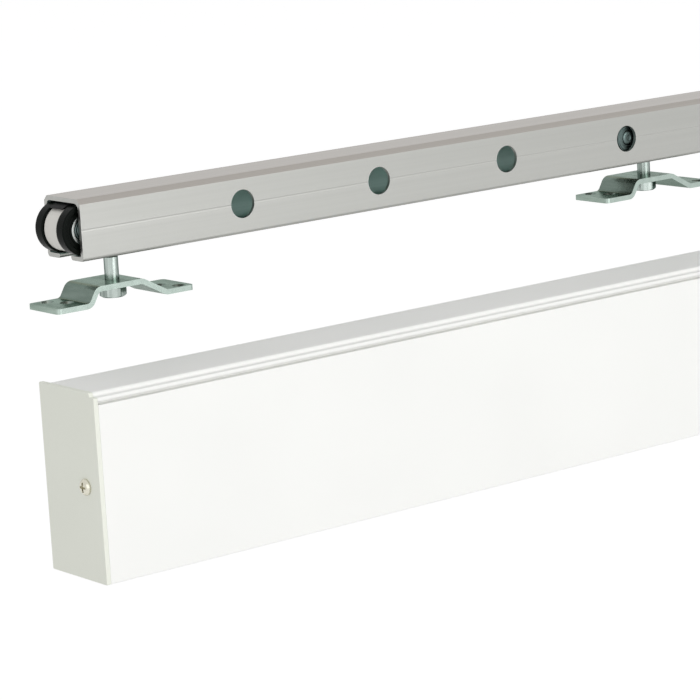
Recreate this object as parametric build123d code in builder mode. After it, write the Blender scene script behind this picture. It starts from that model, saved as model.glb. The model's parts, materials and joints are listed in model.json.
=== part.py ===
from build123d import *
from math import hypot
import os

os.makedirs("parts", exist_ok=True)

# Curtain track with cover: an aluminium channel with two four-wheel hangers, and its pelmet cover
# taken off and standing in front of and below it. Millimetres. X runs along the track, the near end
# at -X. The wall is the plane y = 0 and the room is at -Y. The origin is the middle wall screw hole.

# Track rail, an extrusion
TRACK_LENGTH = 1000.0
TRACK_DEPTH = 35.0
TRACK_HEIGHT = 34.0
SIDE_WALL = 2.2
TOP_WALL = 2.5
LIP_THICKNESS = 2.5
SLOT_WIDTH = 11.0
TOP_BEVEL = 2.8
BOTTOM_ROUND = 1.4
CEILING_ROUND = 3.0
FLOOR_ROUND = 1.0
SLOT_EDGE_ROUND = 0.6
LINE_GROOVE_WIDTH = 1.2
LINE_GROOVE_DEPTH = 0.4

# Holes for the wall screws, each behind an access hole for the screwdriver
HOLE_PITCH = 98.0
HOLE_END_MIN = 60.0
ACCESS_HOLE_D = 16.0
WALL_SCREW_D = 5.2

# Where the two hanging bolts stand, from the near end of the track, and how far each one is
# screwed up with its bracket
BOLT_STATIONS = (29.0, 432.0)
BRACKET_LIFTS = (0.0, 5.0)

# Wheels and their axles
WHEEL_D = 28.0
WHEEL_WIDTH = 7.1
WHEEL_BASE = 49.0
WHEEL_EDGE_ROUND = 0.8
WHEEL_RECESS_INNER_D = 12.0
WHEEL_RECESS_OUTER_D = 22.5
WHEEL_RECESS_DEPTH = 1.2
AXLE_D = 5.0
AXLE_HEAD_D = 8.6
AXLE_HEAD_THICKNESS = 0.9
AXLE_HEAD_SEAT_D = 9.6
AXLE_HEAD_SEAT_DEPTH = 1.3

# Carriage body and the guide on top of it
BODY_WIDTH = 13.0
BODY_NOSE_D = 25.8
BODY_NOSE_BEVEL = 0.8
BODY_TOP_ABOVE_AXLE = 11.65
BOSS_D = 22.0
BOSS_BELOW_AXLE = 12.9
GUIDE_NOSE_D = 29.0
GUIDE_PEG_D = 3.0
GUIDE_PEG_LENGTH = 4.0
GUIDE_PEG_SPACING = 30.0

# Swivel nut
NUT_BARREL_D = 13.0
NUT_BARREL_LENGTH = 12.0
NUT_FLANGE_D = 16.0
NUT_FLANGE_THICKNESS = 3.0
NUT_SEAT_ABOVE_AXLE = 2.85

# Hanging bolt and its washer
BOLT_D = 8.0
BOLT_LENGTH = 40.0
BOLT_TIP_BEVEL = 0.8
BOLT_HEAD_AF = 13.0
BOLT_HEAD_HEIGHT = 5.3
WASHER_D = 16.0
WASHER_THICKNESS = 1.6

# Bracket, a bent strip: its stations are measured from the bolt
BRACKET_WIDTH = 30.0
BRACKET_THICKNESS = 3.0
BRACKET_BELOW_TRACK = 15.0
BRACKET_RISE = 8.5
NEAR_FOOT_END = 46.0
NEAR_BEND_LOW = 24.5
NEAR_BEND_HIGH = 19.5
FAR_BEND_HIGH = 10.0
FAR_BEND_LOW = 25.5
FAR_FOOT_END = 44.0
BEND_RADIUS = 3.0
BRACKET_CORNER_ROUND = 2.5
FOOT_SCREW_D = 4.4
FOOT_SCREW_HEAD_D = 8.0
NEAR_SCREW_INSET = 9.0
FAR_SCREW_INSET = 7.0
FOOT_SCREW_STEP = 6.0
FOOT_SCREW_OUTER_ROW = 10.0
FOOT_SCREW_INNER_ROW = 1.0

# Stop at the far end of the track
STOP_FROM_END = 6.0
STOP_LENGTH = 24.0
STOP_HEIGHT = 20.0
STOP_SIDE_GAP = 2.3
STOP_EDGE_BEVEL = 1.0
BUFFER_LENGTH = 8.0
BUFFER_D = 16.0
BUFFER_EDGE_ROUND = 2.0
STOP_SCREW_D = 8.0
STOP_SCREW_LENGTH = 22.0
STOP_SCREW_SOCKET_AF = 4.0
STOP_SCREW_SOCKET_DEPTH = 5.0

# Cover, an extrusion closed by a cap at each end
COVER_OVERHANG = 32.0
COVER_DEPTH = 52.5
COVER_HEIGHT = 104.0
COVER_WALL = 1.8
COVER_FRONT_FROM_WALL = 84.0
COVER_TOP_BELOW_CENTRE = 77.5
COVER_EDGE_ROUND = 0.8
FLANGE_SHORT = 7.5
FLANGE_LIP = 4.0
NOSE_SET_BACK = 7.0
NOSE_SLOPE_RUN = 2.8
LEDGE_DROP = 2.4
BEAD_HEIGHT = 2.0
GROOVE_HEIGHT = 2.2
GROOVE_DEPTH = 2.0
RETURN_DEPTH = 12.0
RETURN_UPTURN = 4.0
PORT_BEHIND_FRONT = 13.0
PORT_D = 8.4
PORT_WEB = 1.8
PORT_MOUTH = 2.0
CAP_THICKNESS = 2.8
CAP_TAB_LENGTH = 9.0
CAP_TAB_THICKNESS = 1.6
CAP_TAB_MARGIN = 3.0
CAP_SCREW_D = 4.0
CAP_SCREW_LENGTH = 16.0
CAP_SCREW_HEAD_D = 9.0
CAP_SCREW_HEAD_HEIGHT = 2.6
CAP_SCREW_HEAD_ROUND = 1.6

# Clearances
RUNNING_CLEARANCE = 0.05
PRESS_CLEARANCE = 0.02
TREAD_CLEARANCE = 0.15
WHEEL_SIDE_CLEARANCE = 0.3
AXLE_HEAD_CLEARANCE = 0.1
BOLT_HOLE_CLEARANCE = 0.1
CAP_TAB_CLEARANCE = 0.1

# Derived places
near_end = -TRACK_LENGTH / 2
track_mid_y = -TRACK_DEPTH / 2
track_top = TRACK_HEIGHT / 2
track_bottom = -TRACK_HEIGHT / 2
ceiling_z = track_top - TOP_WALL
lip_top = track_bottom + LIP_THICKNESS
channel_width = TRACK_DEPTH - 2 * SIDE_WALL
hole_count = int((TRACK_LENGTH - 2 * HOLE_END_MIN) / HOLE_PITCH) + 1
axle_z = lip_top + WHEEL_D / 2 + TREAD_CLEARANCE
body_top = axle_z + BODY_TOP_ABOVE_AXLE
nut_seat = axle_z + NUT_SEAT_ABOVE_AXLE
wheel_inner = BODY_WIDTH / 2 + WHEEL_SIDE_CLEARANCE
wheel_outer = wheel_inner + WHEEL_WIDTH
axle_head_inner = wheel_outer - AXLE_HEAD_SEAT_DEPTH + AXLE_HEAD_CLEARANCE
axle_end = axle_head_inner + AXLE_HEAD_THICKNESS
bridge_top = track_bottom - BRACKET_BELOW_TRACK
bridge_bottom = bridge_top - BRACKET_THICKNESS
foot_top = bridge_top - BRACKET_RISE
washer_bottom = bridge_bottom - WASHER_THICKNESS
bolt_seat = washer_bottom - RUNNING_CLEARANCE


# Track rail: a slotted channel section, extruded and then drilled through the front and the back
with BuildPart() as track_rail:
    with BuildSketch(Plane.YZ.offset(near_end)) as rail_section:
        with Locations((track_mid_y, 0)):
            Rectangle(TRACK_DEPTH, TRACK_HEIGHT)
        chamfer(rail_section.vertices().group_by(Axis.Y)[-1], TOP_BEVEL)
        fillet(rail_section.vertices().group_by(Axis.Y)[0], BOTTOM_ROUND)
        with BuildSketch(mode=Mode.PRIVATE) as channel:
            with Locations((track_mid_y, (ceiling_z + lip_top) / 2)):
                Rectangle(channel_width, ceiling_z - lip_top)
            fillet(channel.vertices().group_by(Axis.Y)[-1], CEILING_ROUND)
            fillet(channel.vertices().group_by(Axis.Y)[0], FLOOR_ROUND)
        add(channel.sketch, mode=Mode.SUBTRACT)
        with Locations((track_mid_y, track_bottom)):
            Rectangle(SLOT_WIDTH, 3 * LIP_THICKNESS, mode=Mode.SUBTRACT)
        slot_corners = rail_section.vertices().filter_by(
            lambda v: abs(abs(v.X - track_mid_y) - SLOT_WIDTH / 2) < 0.001
        )
        fillet(slot_corners, SLOT_EDGE_ROUND)
        with BuildLine():
            Polyline(
                (-TRACK_DEPTH, LINE_GROOVE_WIDTH / 2),
                (-TRACK_DEPTH + LINE_GROOVE_DEPTH, 0),
                (-TRACK_DEPTH, -LINE_GROOVE_WIDTH / 2),
                close=True,
            )
        make_face(mode=Mode.SUBTRACT)
    extrude(amount=TRACK_LENGTH)
    with Locations(Plane.XZ.offset(TRACK_DEPTH)):
        with GridLocations(HOLE_PITCH, 1, hole_count, 1):
            Hole(ACCESS_HOLE_D / 2, depth=2 * SIDE_WALL)
    with Locations(Plane.XZ.offset(SIDE_WALL)):
        with GridLocations(HOLE_PITCH, 1, hole_count, 1):
            Hole(WALL_SCREW_D / 2, depth=2 * SIDE_WALL)

track_rail.part.label = "track_rail"
export_step(track_rail.part, "parts/track_rail.step")


# The pieces of a hanger are drawn about its bolt, with y = 0 at the middle of the track
# Carriage body: a flat bar with round noses, a boss for the nut and two cross bores for the axles
with BuildPart() as carriage_body:
    with BuildSketch(Plane.XZ):
        with Locations((0, axle_z)):
            SlotCenterToCenter(WHEEL_BASE, BODY_NOSE_D)
        with Locations((0, body_top)):
            Rectangle(
                WHEEL_BASE + 2 * BODY_NOSE_D,
                BODY_NOSE_D,
                align=(Align.CENTER, Align.MIN),
                mode=Mode.SUBTRACT,
            )
    extrude(amount=BODY_WIDTH / 2, both=True)
    noses = carriage_body.edges().filter_by(GeomType.CIRCLE)
    chamfer(noses, BODY_NOSE_BEVEL)
    with BuildSketch(Plane.XY.offset(axle_z - BOSS_BELOW_AXLE)):
        Circle(BOSS_D / 2)
    extrude(amount=BOSS_BELOW_AXLE + BODY_TOP_ABOVE_AXLE)
    with Locations((0, 0, body_top)):
        CounterBoreHole(
            NUT_BARREL_D / 2 + RUNNING_CLEARANCE,
            NUT_FLANGE_D / 2 + RUNNING_CLEARANCE,
            body_top - nut_seat,
        )
        with GridLocations(GUIDE_PEG_SPACING, 1, 2, 1):
            Hole(GUIDE_PEG_D / 2 + PRESS_CLEARANCE, depth=GUIDE_PEG_LENGTH)
    with Locations(Plane.XZ):
        with Locations((-WHEEL_BASE / 2, axle_z), (WHEEL_BASE / 2, axle_z)):
            Hole(AXLE_D / 2 + PRESS_CLEARANCE)

# Top guide: the strip over the body that keeps the carriage down
with BuildPart() as top_guide:
    with BuildSketch(Plane.XZ):
        with Locations((0, axle_z)):
            SlotCenterToCenter(WHEEL_BASE, GUIDE_NOSE_D)
        with Locations((0, body_top)):
            Rectangle(
                WHEEL_BASE + 2 * GUIDE_NOSE_D,
                2 * GUIDE_NOSE_D,
                align=(Align.CENTER, Align.MAX),
                mode=Mode.SUBTRACT,
            )
    extrude(amount=BODY_WIDTH / 2, both=True)
    with BuildSketch(Plane.XY.offset(body_top)):
        with GridLocations(GUIDE_PEG_SPACING, 1, 2, 1):
            Circle(GUIDE_PEG_D / 2)
    extrude(amount=-GUIDE_PEG_LENGTH + PRESS_CLEARANCE)

# Axle: a pin riveted over at both ends
with BuildPart() as axle:
    with BuildSketch():
        with BuildLine():
            Polyline(
                (0, -axle_end),
                (AXLE_HEAD_D / 2, -axle_end),
                (AXLE_HEAD_D / 2, -axle_head_inner),
                (AXLE_D / 2, -axle_head_inner),
                (AXLE_D / 2, axle_head_inner),
                (AXLE_HEAD_D / 2, axle_head_inner),
                (AXLE_HEAD_D / 2, axle_end),
                (0, axle_end),
                close=True,
            )
        make_face()
    revolve(axis=Axis.Y)

# Wheel: a turned section, its outer face recessed round the hub and at the seat of the axle head
with BuildPart() as wheel:
    with BuildSketch() as wheel_section:
        with BuildLine():
            Polyline(
                (AXLE_D / 2 + RUNNING_CLEARANCE, 0),
                (WHEEL_D / 2, 0),
                (WHEEL_D / 2, -WHEEL_WIDTH),
                (WHEEL_RECESS_OUTER_D / 2, -WHEEL_WIDTH),
                (WHEEL_RECESS_OUTER_D / 2, -WHEEL_WIDTH + WHEEL_RECESS_DEPTH),
                (WHEEL_RECESS_INNER_D / 2, -WHEEL_WIDTH + WHEEL_RECESS_DEPTH),
                (WHEEL_RECESS_INNER_D / 2, -WHEEL_WIDTH),
                (AXLE_HEAD_SEAT_D / 2, -WHEEL_WIDTH),
                (AXLE_HEAD_SEAT_D / 2, -WHEEL_WIDTH + AXLE_HEAD_SEAT_DEPTH),
                (AXLE_D / 2 + RUNNING_CLEARANCE, -WHEEL_WIDTH + AXLE_HEAD_SEAT_DEPTH),
                close=True,
            )
        make_face()
        fillet(wheel_section.vertices().group_by(Axis.X)[-1], WHEEL_EDGE_ROUND)
    revolve(axis=Axis.Y)

# Swivel nut: it turns in the boss and rests on its flange
with BuildPart() as swivel_nut:
    with BuildSketch(Plane.XY.offset(nut_seat + RUNNING_CLEARANCE)):
        Circle(NUT_FLANGE_D / 2)
    extrude(amount=NUT_FLANGE_THICKNESS)
    with BuildSketch(Plane.XY.offset(nut_seat + RUNNING_CLEARANCE)):
        Circle(NUT_BARREL_D / 2)
    extrude(amount=-NUT_BARREL_LENGTH)
    with Locations((0, 0, nut_seat + NUT_FLANGE_THICKNESS)):
        Hole(BOLT_D / 2 + RUNNING_CLEARANCE)

# Hanging bolt: its hexagon head is below the bracket and its tip inside the carriage
with BuildPart() as hanger_bolt:
    with BuildSketch(Plane.XY.offset(bolt_seat)):
        RegularPolygon(BOLT_HEAD_AF / 2, 6, major_radius=False)
    extrude(amount=-BOLT_HEAD_HEIGHT)
    chamfer(hanger_bolt.edges().group_by(Axis.Z)[0], BOLT_TIP_BEVEL)
    with BuildSketch(Plane.XY.offset(bolt_seat)):
        Circle(BOLT_D / 2)
    extrude(amount=BOLT_LENGTH)
    chamfer(hanger_bolt.edges().group_by(Axis.Z)[-1], BOLT_TIP_BEVEL)

with BuildPart() as washer:
    with BuildSketch(Plane.XY.offset(washer_bottom)):
        Circle(WASHER_D / 2)
        Circle(BOLT_D / 2 + BOLT_HOLE_CLEARANCE, mode=Mode.SUBTRACT)
    extrude(amount=WASHER_THICKNESS)

# Bracket: a strip bent twice on each side of the bridge that the bolt hangs under
foot_mid = foot_top - BRACKET_THICKNESS / 2
bridge_mid = bridge_top - BRACKET_THICKNESS / 2
near_screw = -NEAR_FOOT_END + NEAR_SCREW_INSET
far_screw = FAR_FOOT_END - FAR_SCREW_INSET
with BuildPart() as bracket:
    with BuildSketch(Plane.XZ) as strip:
        with BuildLine():
            FilletPolyline(
                (-NEAR_FOOT_END, foot_mid),
                (-NEAR_BEND_LOW, foot_mid),
                (-NEAR_BEND_HIGH, bridge_mid),
                (FAR_BEND_HIGH, bridge_mid),
                (FAR_BEND_LOW, foot_mid),
                (FAR_FOOT_END, foot_mid),
                radius=BEND_RADIUS + BRACKET_THICKNESS / 2,
            )
        trace(line_width=BRACKET_THICKNESS)
    extrude(amount=BRACKET_WIDTH / 2, both=True)
    strip_corners = bracket.edges().filter_by(Axis.Z)
    fillet(strip_corners, BRACKET_CORNER_ROUND)
    with Locations((0, 0, bridge_top)):
        Hole(BOLT_D / 2 + BOLT_HOLE_CLEARANCE, depth=2 * BRACKET_THICKNESS)
    with Locations(
        (near_screw, FOOT_SCREW_OUTER_ROW, foot_top),
        (near_screw + FOOT_SCREW_STEP, -FOOT_SCREW_INNER_ROW, foot_top),
        (far_screw - FOOT_SCREW_STEP, FOOT_SCREW_INNER_ROW, foot_top),
        (far_screw, -FOOT_SCREW_OUTER_ROW, foot_top),
    ):
        CounterSinkHole(FOOT_SCREW_D / 2, FOOT_SCREW_HEAD_D / 2, depth=BRACKET_THICKNESS)

# The two hangers: one placed copy of each piece for each bolt, the hung pieces at their own height
half_base = WHEEL_BASE / 2
carriage_pieces = [
    ("body", carriage_body, Location()),
    ("top_guide", top_guide, Location()),
    ("axle_near", axle, Location((-half_base, 0, axle_z))),
    ("axle_far", axle, Location((half_base, 0, axle_z))),
    ("wheel_near_front", wheel, Location((-half_base, -wheel_inner, axle_z))),
    ("wheel_far_front", wheel, Location((half_base, -wheel_inner, axle_z))),
    ("wheel_near_back", wheel, Location((-half_base, wheel_inner, axle_z), (0, 0, 180))),
    ("wheel_far_back", wheel, Location((half_base, wheel_inner, axle_z), (0, 0, 180))),
    ("swivel_nut", swivel_nut, Location()),
]
for number, (station, lift) in enumerate(zip(BOLT_STATIONS, BRACKET_LIFTS), 1):
    hanger_place = Location((near_end + station, track_mid_y, 0))
    hung_place = Location((0, 0, lift))
    hung_pieces = [
        ("bolt", hanger_bolt, hung_place),
        ("washer", washer, hung_place),
        ("bracket", bracket, hung_place),
    ]
    for piece_name, piece, place in carriage_pieces + hung_pieces:
        with BuildPart() as placed:
            with Locations(hanger_place * place):
                add(piece.part)
        placed.part.label = f"hanger_{number}_{piece_name}"
        export_step(placed.part, f"parts/hanger_{number}_{piece_name}.step")


# Track stop: a block standing on the lips, a buffer on its face and a screw up to the ceiling
stop_face = TRACK_LENGTH / 2 - STOP_FROM_END - STOP_LENGTH
stop_mid_x = stop_face + STOP_LENGTH / 2
buffer_z = lip_top + STOP_HEIGHT / 2
with BuildPart() as stop_block:
    with BuildSketch(Plane.XY.offset(lip_top)):
        with Locations((stop_mid_x, track_mid_y)):
            Rectangle(STOP_LENGTH, channel_width - 2 * STOP_SIDE_GAP)
    extrude(amount=STOP_HEIGHT)
    chamfer(stop_block.edges().group_by(Axis.Z)[-1], STOP_EDGE_BEVEL)
    with Locations((stop_mid_x, track_mid_y, lip_top + STOP_HEIGHT)):
        Hole(STOP_SCREW_D / 2 + PRESS_CLEARANCE)

stop_block.part.label = "stop_block"
export_step(stop_block.part, "parts/stop_block.step")

with BuildPart() as stop_buffer:
    with BuildSketch(Plane.YZ.offset(stop_face)):
        with Locations((track_mid_y, buffer_z)):
            Circle(BUFFER_D / 2)
    extrude(amount=-BUFFER_LENGTH)
    fillet(stop_buffer.edges().group_by(Axis.X)[0], BUFFER_EDGE_ROUND)

stop_buffer.part.label = "stop_buffer"
export_step(stop_buffer.part, "parts/stop_buffer.step")

with BuildPart() as stop_screw:
    with BuildSketch(Plane.XY.offset(ceiling_z)):
        with Locations((stop_mid_x, track_mid_y)):
            Circle(STOP_SCREW_D / 2)
    extrude(amount=-STOP_SCREW_LENGTH)
    with BuildSketch(Plane.XY.offset(ceiling_z - STOP_SCREW_LENGTH)):
        with Locations((stop_mid_x, track_mid_y)):
            RegularPolygon(STOP_SCREW_SOCKET_AF / 2, 6, major_radius=False)
    extrude(amount=STOP_SCREW_SOCKET_DEPTH, mode=Mode.SUBTRACT)

stop_screw.part.label = "stop_screw"
export_step(stop_screw.part, "parts/stop_screw.step")


# Cover: places measured on its section, the same for the profile and for the caps
cover_near = near_end - COVER_OVERHANG
profile_near = cover_near + CAP_THICKNESS
cover_front = -COVER_FRONT_FROM_WALL
cover_top = -COVER_TOP_BELOW_CENTRE
cover_bottom = cover_top - COVER_HEIGHT
cap_back = cover_front + COVER_DEPTH
flange_back = cap_back - FLANGE_SHORT
ledge_z = cover_top - LEDGE_DROP
groove_top = ledge_z - BEAD_HEIGHT
groove_bottom = groove_top - GROOVE_HEIGHT
slope_top = cover_front + NOSE_SET_BACK
slope_foot = slope_top - NOSE_SLOPE_RUN
slope_offset = COVER_WALL * (hypot(NOSE_SLOPE_RUN, LEDGE_DROP) - NOSE_SLOPE_RUN) / LEDGE_DROP
front_inner = cover_front + COVER_WALL
groove_back = cover_front + GROOVE_DEPTH
return_back = cover_front + RETURN_DEPTH
port_y = cover_front + PORT_BEHIND_FRONT
port_z = cover_top - COVER_HEIGHT / 2
nose = [
    (slope_top, cover_top),
    (slope_foot, ledge_z),
    (cover_front, ledge_z),
    (cover_front, groove_top),
    (groove_back, groove_top),
    (groove_back, groove_bottom),
    (cover_front, groove_bottom),
]

with BuildPart() as cover_profile:
    with BuildSketch(Plane.YZ.offset(profile_near)) as cover_section:
        with BuildLine():
            Polyline(
                (flange_back, cover_top),
                *nose,
                (cover_front, cover_bottom),
                (return_back, cover_bottom),
                (return_back, cover_bottom + RETURN_UPTURN),
                (return_back - COVER_WALL, cover_bottom + RETURN_UPTURN),
                (return_back - COVER_WALL, cover_bottom + COVER_WALL),
                (front_inner, cover_bottom + COVER_WALL),
                (front_inner, groove_bottom - COVER_WALL),
                (groove_back + COVER_WALL, groove_bottom - COVER_WALL),
                (groove_back + COVER_WALL, ledge_z - COVER_WALL),
                (slope_foot + slope_offset, ledge_z - COVER_WALL),
                (slope_top + slope_offset, cover_top - COVER_WALL),
                (flange_back - COVER_WALL, cover_top - COVER_WALL),
                (flange_back - COVER_WALL, cover_top - FLANGE_LIP),
                (flange_back, cover_top - FLANGE_LIP),
                close=True,
            )
        make_face()
        for corner in ((cover_front, cover_bottom), (cover_front, ledge_z)):
            fillet(cover_section.vertices().sort_by_distance((*corner, 0))[0], COVER_EDGE_ROUND)
        with Locations((front_inner, port_z)):
            Rectangle(port_y - front_inner, PORT_WEB, align=(Align.MIN, Align.CENTER))
        with Locations((port_y, port_z)):
            Circle(PORT_D / 2)
            Circle(CAP_SCREW_D / 2 + PRESS_CLEARANCE, mode=Mode.SUBTRACT)
            Rectangle(PORT_D, PORT_MOUTH, align=(Align.MIN, Align.CENTER), mode=Mode.SUBTRACT)
    extrude(amount=-2 * profile_near)

cover_profile.part.label = "cover_profile"
export_step(cover_profile.part, "parts/cover_profile.step")

# End cap: a plate of the whole section, with three tabs that enter the profile
tab_top = cover_top - COVER_WALL - CAP_TAB_CLEARANCE
tab_front = front_inner + CAP_TAB_CLEARANCE
tab_high = groove_bottom - COVER_WALL - CAP_TAB_MARGIN
tab_low = cover_bottom + COVER_WALL + CAP_TAB_MARGIN
port_half = PORT_D / 2 + CAP_TAB_MARGIN
flange_tab_start = slope_top + slope_offset + CAP_TAB_MARGIN
flange_tab_end = flange_back - COVER_WALL - CAP_TAB_MARGIN
with BuildPart() as cap_near:
    with BuildSketch(Plane.YZ.offset(cover_near)) as cap_outline:
        with BuildLine():
            Polyline(
                (cap_back, cover_top),
                *nose,
                (cover_front, cover_bottom),
                (cap_back, cover_bottom),
                close=True,
            )
        make_face()
        for corner in ((cover_front, cover_bottom), (cover_front, ledge_z)):
            fillet(cap_outline.vertices().sort_by_distance((*corner, 0))[0], COVER_EDGE_ROUND)
    extrude(amount=CAP_THICKNESS)
    with BuildSketch(Plane.YZ.offset(profile_near)):
        with Locations((flange_tab_start, tab_top)):
            Rectangle(
                flange_tab_end - flange_tab_start,
                CAP_TAB_THICKNESS,
                align=(Align.MIN, Align.MAX),
            )
        with Locations((tab_front, tab_high)):
            Rectangle(
                CAP_TAB_THICKNESS,
                tab_high - port_z - port_half,
                align=(Align.MIN, Align.MAX),
            )
        with Locations((tab_front, tab_low)):
            Rectangle(
                CAP_TAB_THICKNESS,
                port_z - port_half - tab_low,
                align=(Align.MIN, Align.MIN),
            )
    extrude(amount=CAP_TAB_LENGTH)
    with Locations(Plane.YZ.offset(cover_near)):
        with Locations((port_y, port_z)):
            Hole(CAP_SCREW_D / 2 + RUNNING_CLEARANCE)

cap_near.part.label = "cover_cap_near"
export_step(cap_near.part, "parts/cover_cap_near.step")

with BuildPart() as cap_far:
    mirror(cap_near.part, about=Plane.YZ)

cap_far.part.label = "cover_cap_far"
export_step(cap_far.part, "parts/cover_cap_far.step")

# Cap screw: a pan head outside the cap and a shank in the profile's screw port
with BuildPart() as cap_screw_near:
    with BuildSketch(Plane.YZ.offset(cover_near)):
        with Locations((port_y, port_z)):
            Circle(CAP_SCREW_HEAD_D / 2)
    extrude(amount=-CAP_SCREW_HEAD_HEIGHT)
    fillet(cap_screw_near.edges().group_by(Axis.X)[0], CAP_SCREW_HEAD_ROUND)
    with BuildSketch(Plane.YZ.offset(cover_near)):
        with Locations((port_y, port_z)):
            Circle(CAP_SCREW_D / 2)
    extrude(amount=CAP_SCREW_LENGTH)

cap_screw_near.part.label = "cover_cap_screw_near"
export_step(cap_screw_near.part, "parts/cover_cap_screw_near.step")

with BuildPart() as cap_screw_far:
    mirror(cap_screw_near.part, about=Plane.YZ)

cap_screw_far.part.label = "cover_cap_screw_far"
export_step(cap_screw_far.part, "parts/cover_cap_screw_far.step")
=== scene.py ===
"""Curtain track with cover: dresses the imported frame, and sets the camera, the floor and the light."""

import json
import logging
import math
from contextlib import contextmanager
from dataclasses import dataclass, field
from enum import Enum
from typing import Callable, Iterable, Iterator, Sequence

import bmesh
import bpy
from mathutils import Matrix, Vector

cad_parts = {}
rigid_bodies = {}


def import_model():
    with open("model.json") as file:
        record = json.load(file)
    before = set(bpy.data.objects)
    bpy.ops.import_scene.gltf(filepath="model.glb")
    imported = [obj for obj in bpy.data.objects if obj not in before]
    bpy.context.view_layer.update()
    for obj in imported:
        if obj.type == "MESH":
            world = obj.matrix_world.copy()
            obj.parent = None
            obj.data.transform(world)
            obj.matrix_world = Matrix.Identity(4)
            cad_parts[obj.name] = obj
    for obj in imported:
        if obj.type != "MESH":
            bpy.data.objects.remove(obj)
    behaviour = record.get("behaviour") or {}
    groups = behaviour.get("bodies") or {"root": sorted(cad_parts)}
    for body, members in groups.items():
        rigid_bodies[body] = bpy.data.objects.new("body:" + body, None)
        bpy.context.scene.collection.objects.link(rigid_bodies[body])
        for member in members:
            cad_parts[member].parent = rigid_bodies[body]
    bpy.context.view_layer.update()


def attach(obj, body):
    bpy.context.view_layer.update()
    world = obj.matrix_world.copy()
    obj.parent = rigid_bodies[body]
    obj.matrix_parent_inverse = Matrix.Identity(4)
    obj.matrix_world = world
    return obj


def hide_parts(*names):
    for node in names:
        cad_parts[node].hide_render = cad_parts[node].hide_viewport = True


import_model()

logging.basicConfig(level=logging.INFO, format="%(message)s")
LOG = logging.getLogger("curtain_track")

Point2 = tuple[float, float]
Point3 = tuple[float, float, float]
Corner = tuple[float, float, float]
Color = tuple[float, float, float]
Piece = bpy.types.Object
Socket = bpy.types.NodeSocket
Feeds = dict[str | int, object]
Picker = Callable[[Vector, Vector], bool]

# One mm in metres, and the angle from which an edge is shaded sharp, in degrees.
MM = 0.001
SHARP_FROM = 42.0
# In mm: the middle of the track's depth, how far a turned piece stands off its bore, how far a drill
# reaches past what it drills, and how far a piece that is added or cut away reaches over the face it meets.
MID_Y = -17.5
CLEARANCE = 0.05
PAST = 5.0
OVERLAP = 1.0
ORIGIN: Point3 = (0.0, 0.0, 0.0)
WHITE: Color = (1.0, 1.0, 1.0)


class Turn(Enum):
    """The axis that a solid is drawn out along or turned about."""

    X = 0
    Y = 1
    Z = 2

    def beside(self, height: float, u: float, v: float) -> Vector:
        """A place given by its height along the axis and its two other coordinates.

        Args:
            height: The height along the axis.
            u: The first of the other coordinates.
            v: The second of them.

        Returns:
            The place.
        """
        spot = [u, v]
        spot.insert(self.value, height)
        return Vector(spot)

    def around(self, height: float, radius: float, angle: float) -> Vector:
        """The place at a height along the axis, a radius from it and an angle round it."""
        spot = [height, radius * math.cos(angle), radius * math.sin(angle)]
        return Vector(spot[-self.value:] + spot[:-self.value])


class Cut(Enum):
    """How one mesh is combined with another."""

    ADD = "UNION"
    REMOVE = "DIFFERENCE"
    KEEP = "INTERSECT"


class Way(Enum):
    """A direction whose value is its sign."""

    @property
    def label(self) -> str:
        """Its word in the nodes' names."""
        return self.name.lower()


class End(Way):
    """The two ends of the track and of a carriage."""

    NEAR = -1
    FAR = 1


class Side(Way):
    """The two sides of a carriage."""

    FRONT = -1
    BACK = 1


def arc(centre: Sequence[float], radius: float, start: float, end: float, steps: int) -> list[Point2]:
    """Points along an arc.

    Args:
        centre: The arc's centre.
        radius: Its radius.
        start: The first angle, in degrees.
        end: The last angle, in degrees.
        steps: The number of edges.

    Returns:
        The points, both ends included.
    """
    angles = [math.radians(start + (end - start) * k / steps) for k in range(steps + 1)]
    return [(centre[0] + radius * math.cos(a), centre[1] + radius * math.sin(a)) for a in angles]


def rounded(corners: Sequence[Corner], steps: int = 5) -> list[Point2]:
    """Rounds the corners of a closed outline.

    Args:
        corners: The corners in order, each with the radius it gets; 0 keeps it sharp.
        steps: The number of edges in each rounding.

    Returns:
        The points of the rounded outline.
    """
    points: list[Point2] = []
    for i, (x, y, radius) in enumerate(corners):
        if radius <= 0:
            points.append((x, y))
            continue
        here = Vector((x, y))
        back = Vector(corners[i - 1][:2]) - here
        ahead = Vector(corners[(i + 1) % len(corners)][:2]) - here
        half = back.angle(ahead) / 2
        reach = radius / math.tan(half)
        start = here + back.normalized() * reach
        end = here + ahead.normalized() * reach
        centre = here + (back.normalized() + ahead.normalized()).normalized() * (radius / math.sin(half))
        first = math.atan2(start.y - centre.y, start.x - centre.x)
        last = math.atan2(end.y - centre.y, end.x - centre.x)
        sweep = (last - first + math.pi) % (2 * math.pi) - math.pi
        points += arc(centre, radius, math.degrees(first), math.degrees(first + sweep), steps)
    return points


def rectangle(low: Point2, high: Point2, radius: float = 0.0, steps: int = 5) -> list[Point2]:
    """A rectangle with rounded corners.

    Args:
        low: Its lowest corner.
        high: Its highest corner.
        radius: The radius of its corners.
        steps: The number of edges in each rounding.

    Returns:
        The outline.
    """
    (x0, y0), (x1, y1) = low, high
    return rounded([(x0, y0, radius), (x1, y0, radius), (x1, y1, radius), (x0, y1, radius)], steps)


def new_object(name: str, shape: bmesh.types.BMesh) -> Piece:
    """Makes a linked object of a bmesh, with its faces pointing outwards.

    Args:
        name: The object's name.
        shape: The mesh, which is freed.

    Returns:
        The object.
    """
    bmesh.ops.recalc_face_normals(shape, faces=shape.faces)
    data = bpy.data.meshes.new(name)
    shape.to_mesh(data)
    shape.free()
    made = bpy.data.objects.new(name, data)
    bpy.context.scene.collection.objects.link(made)
    return made


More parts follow.
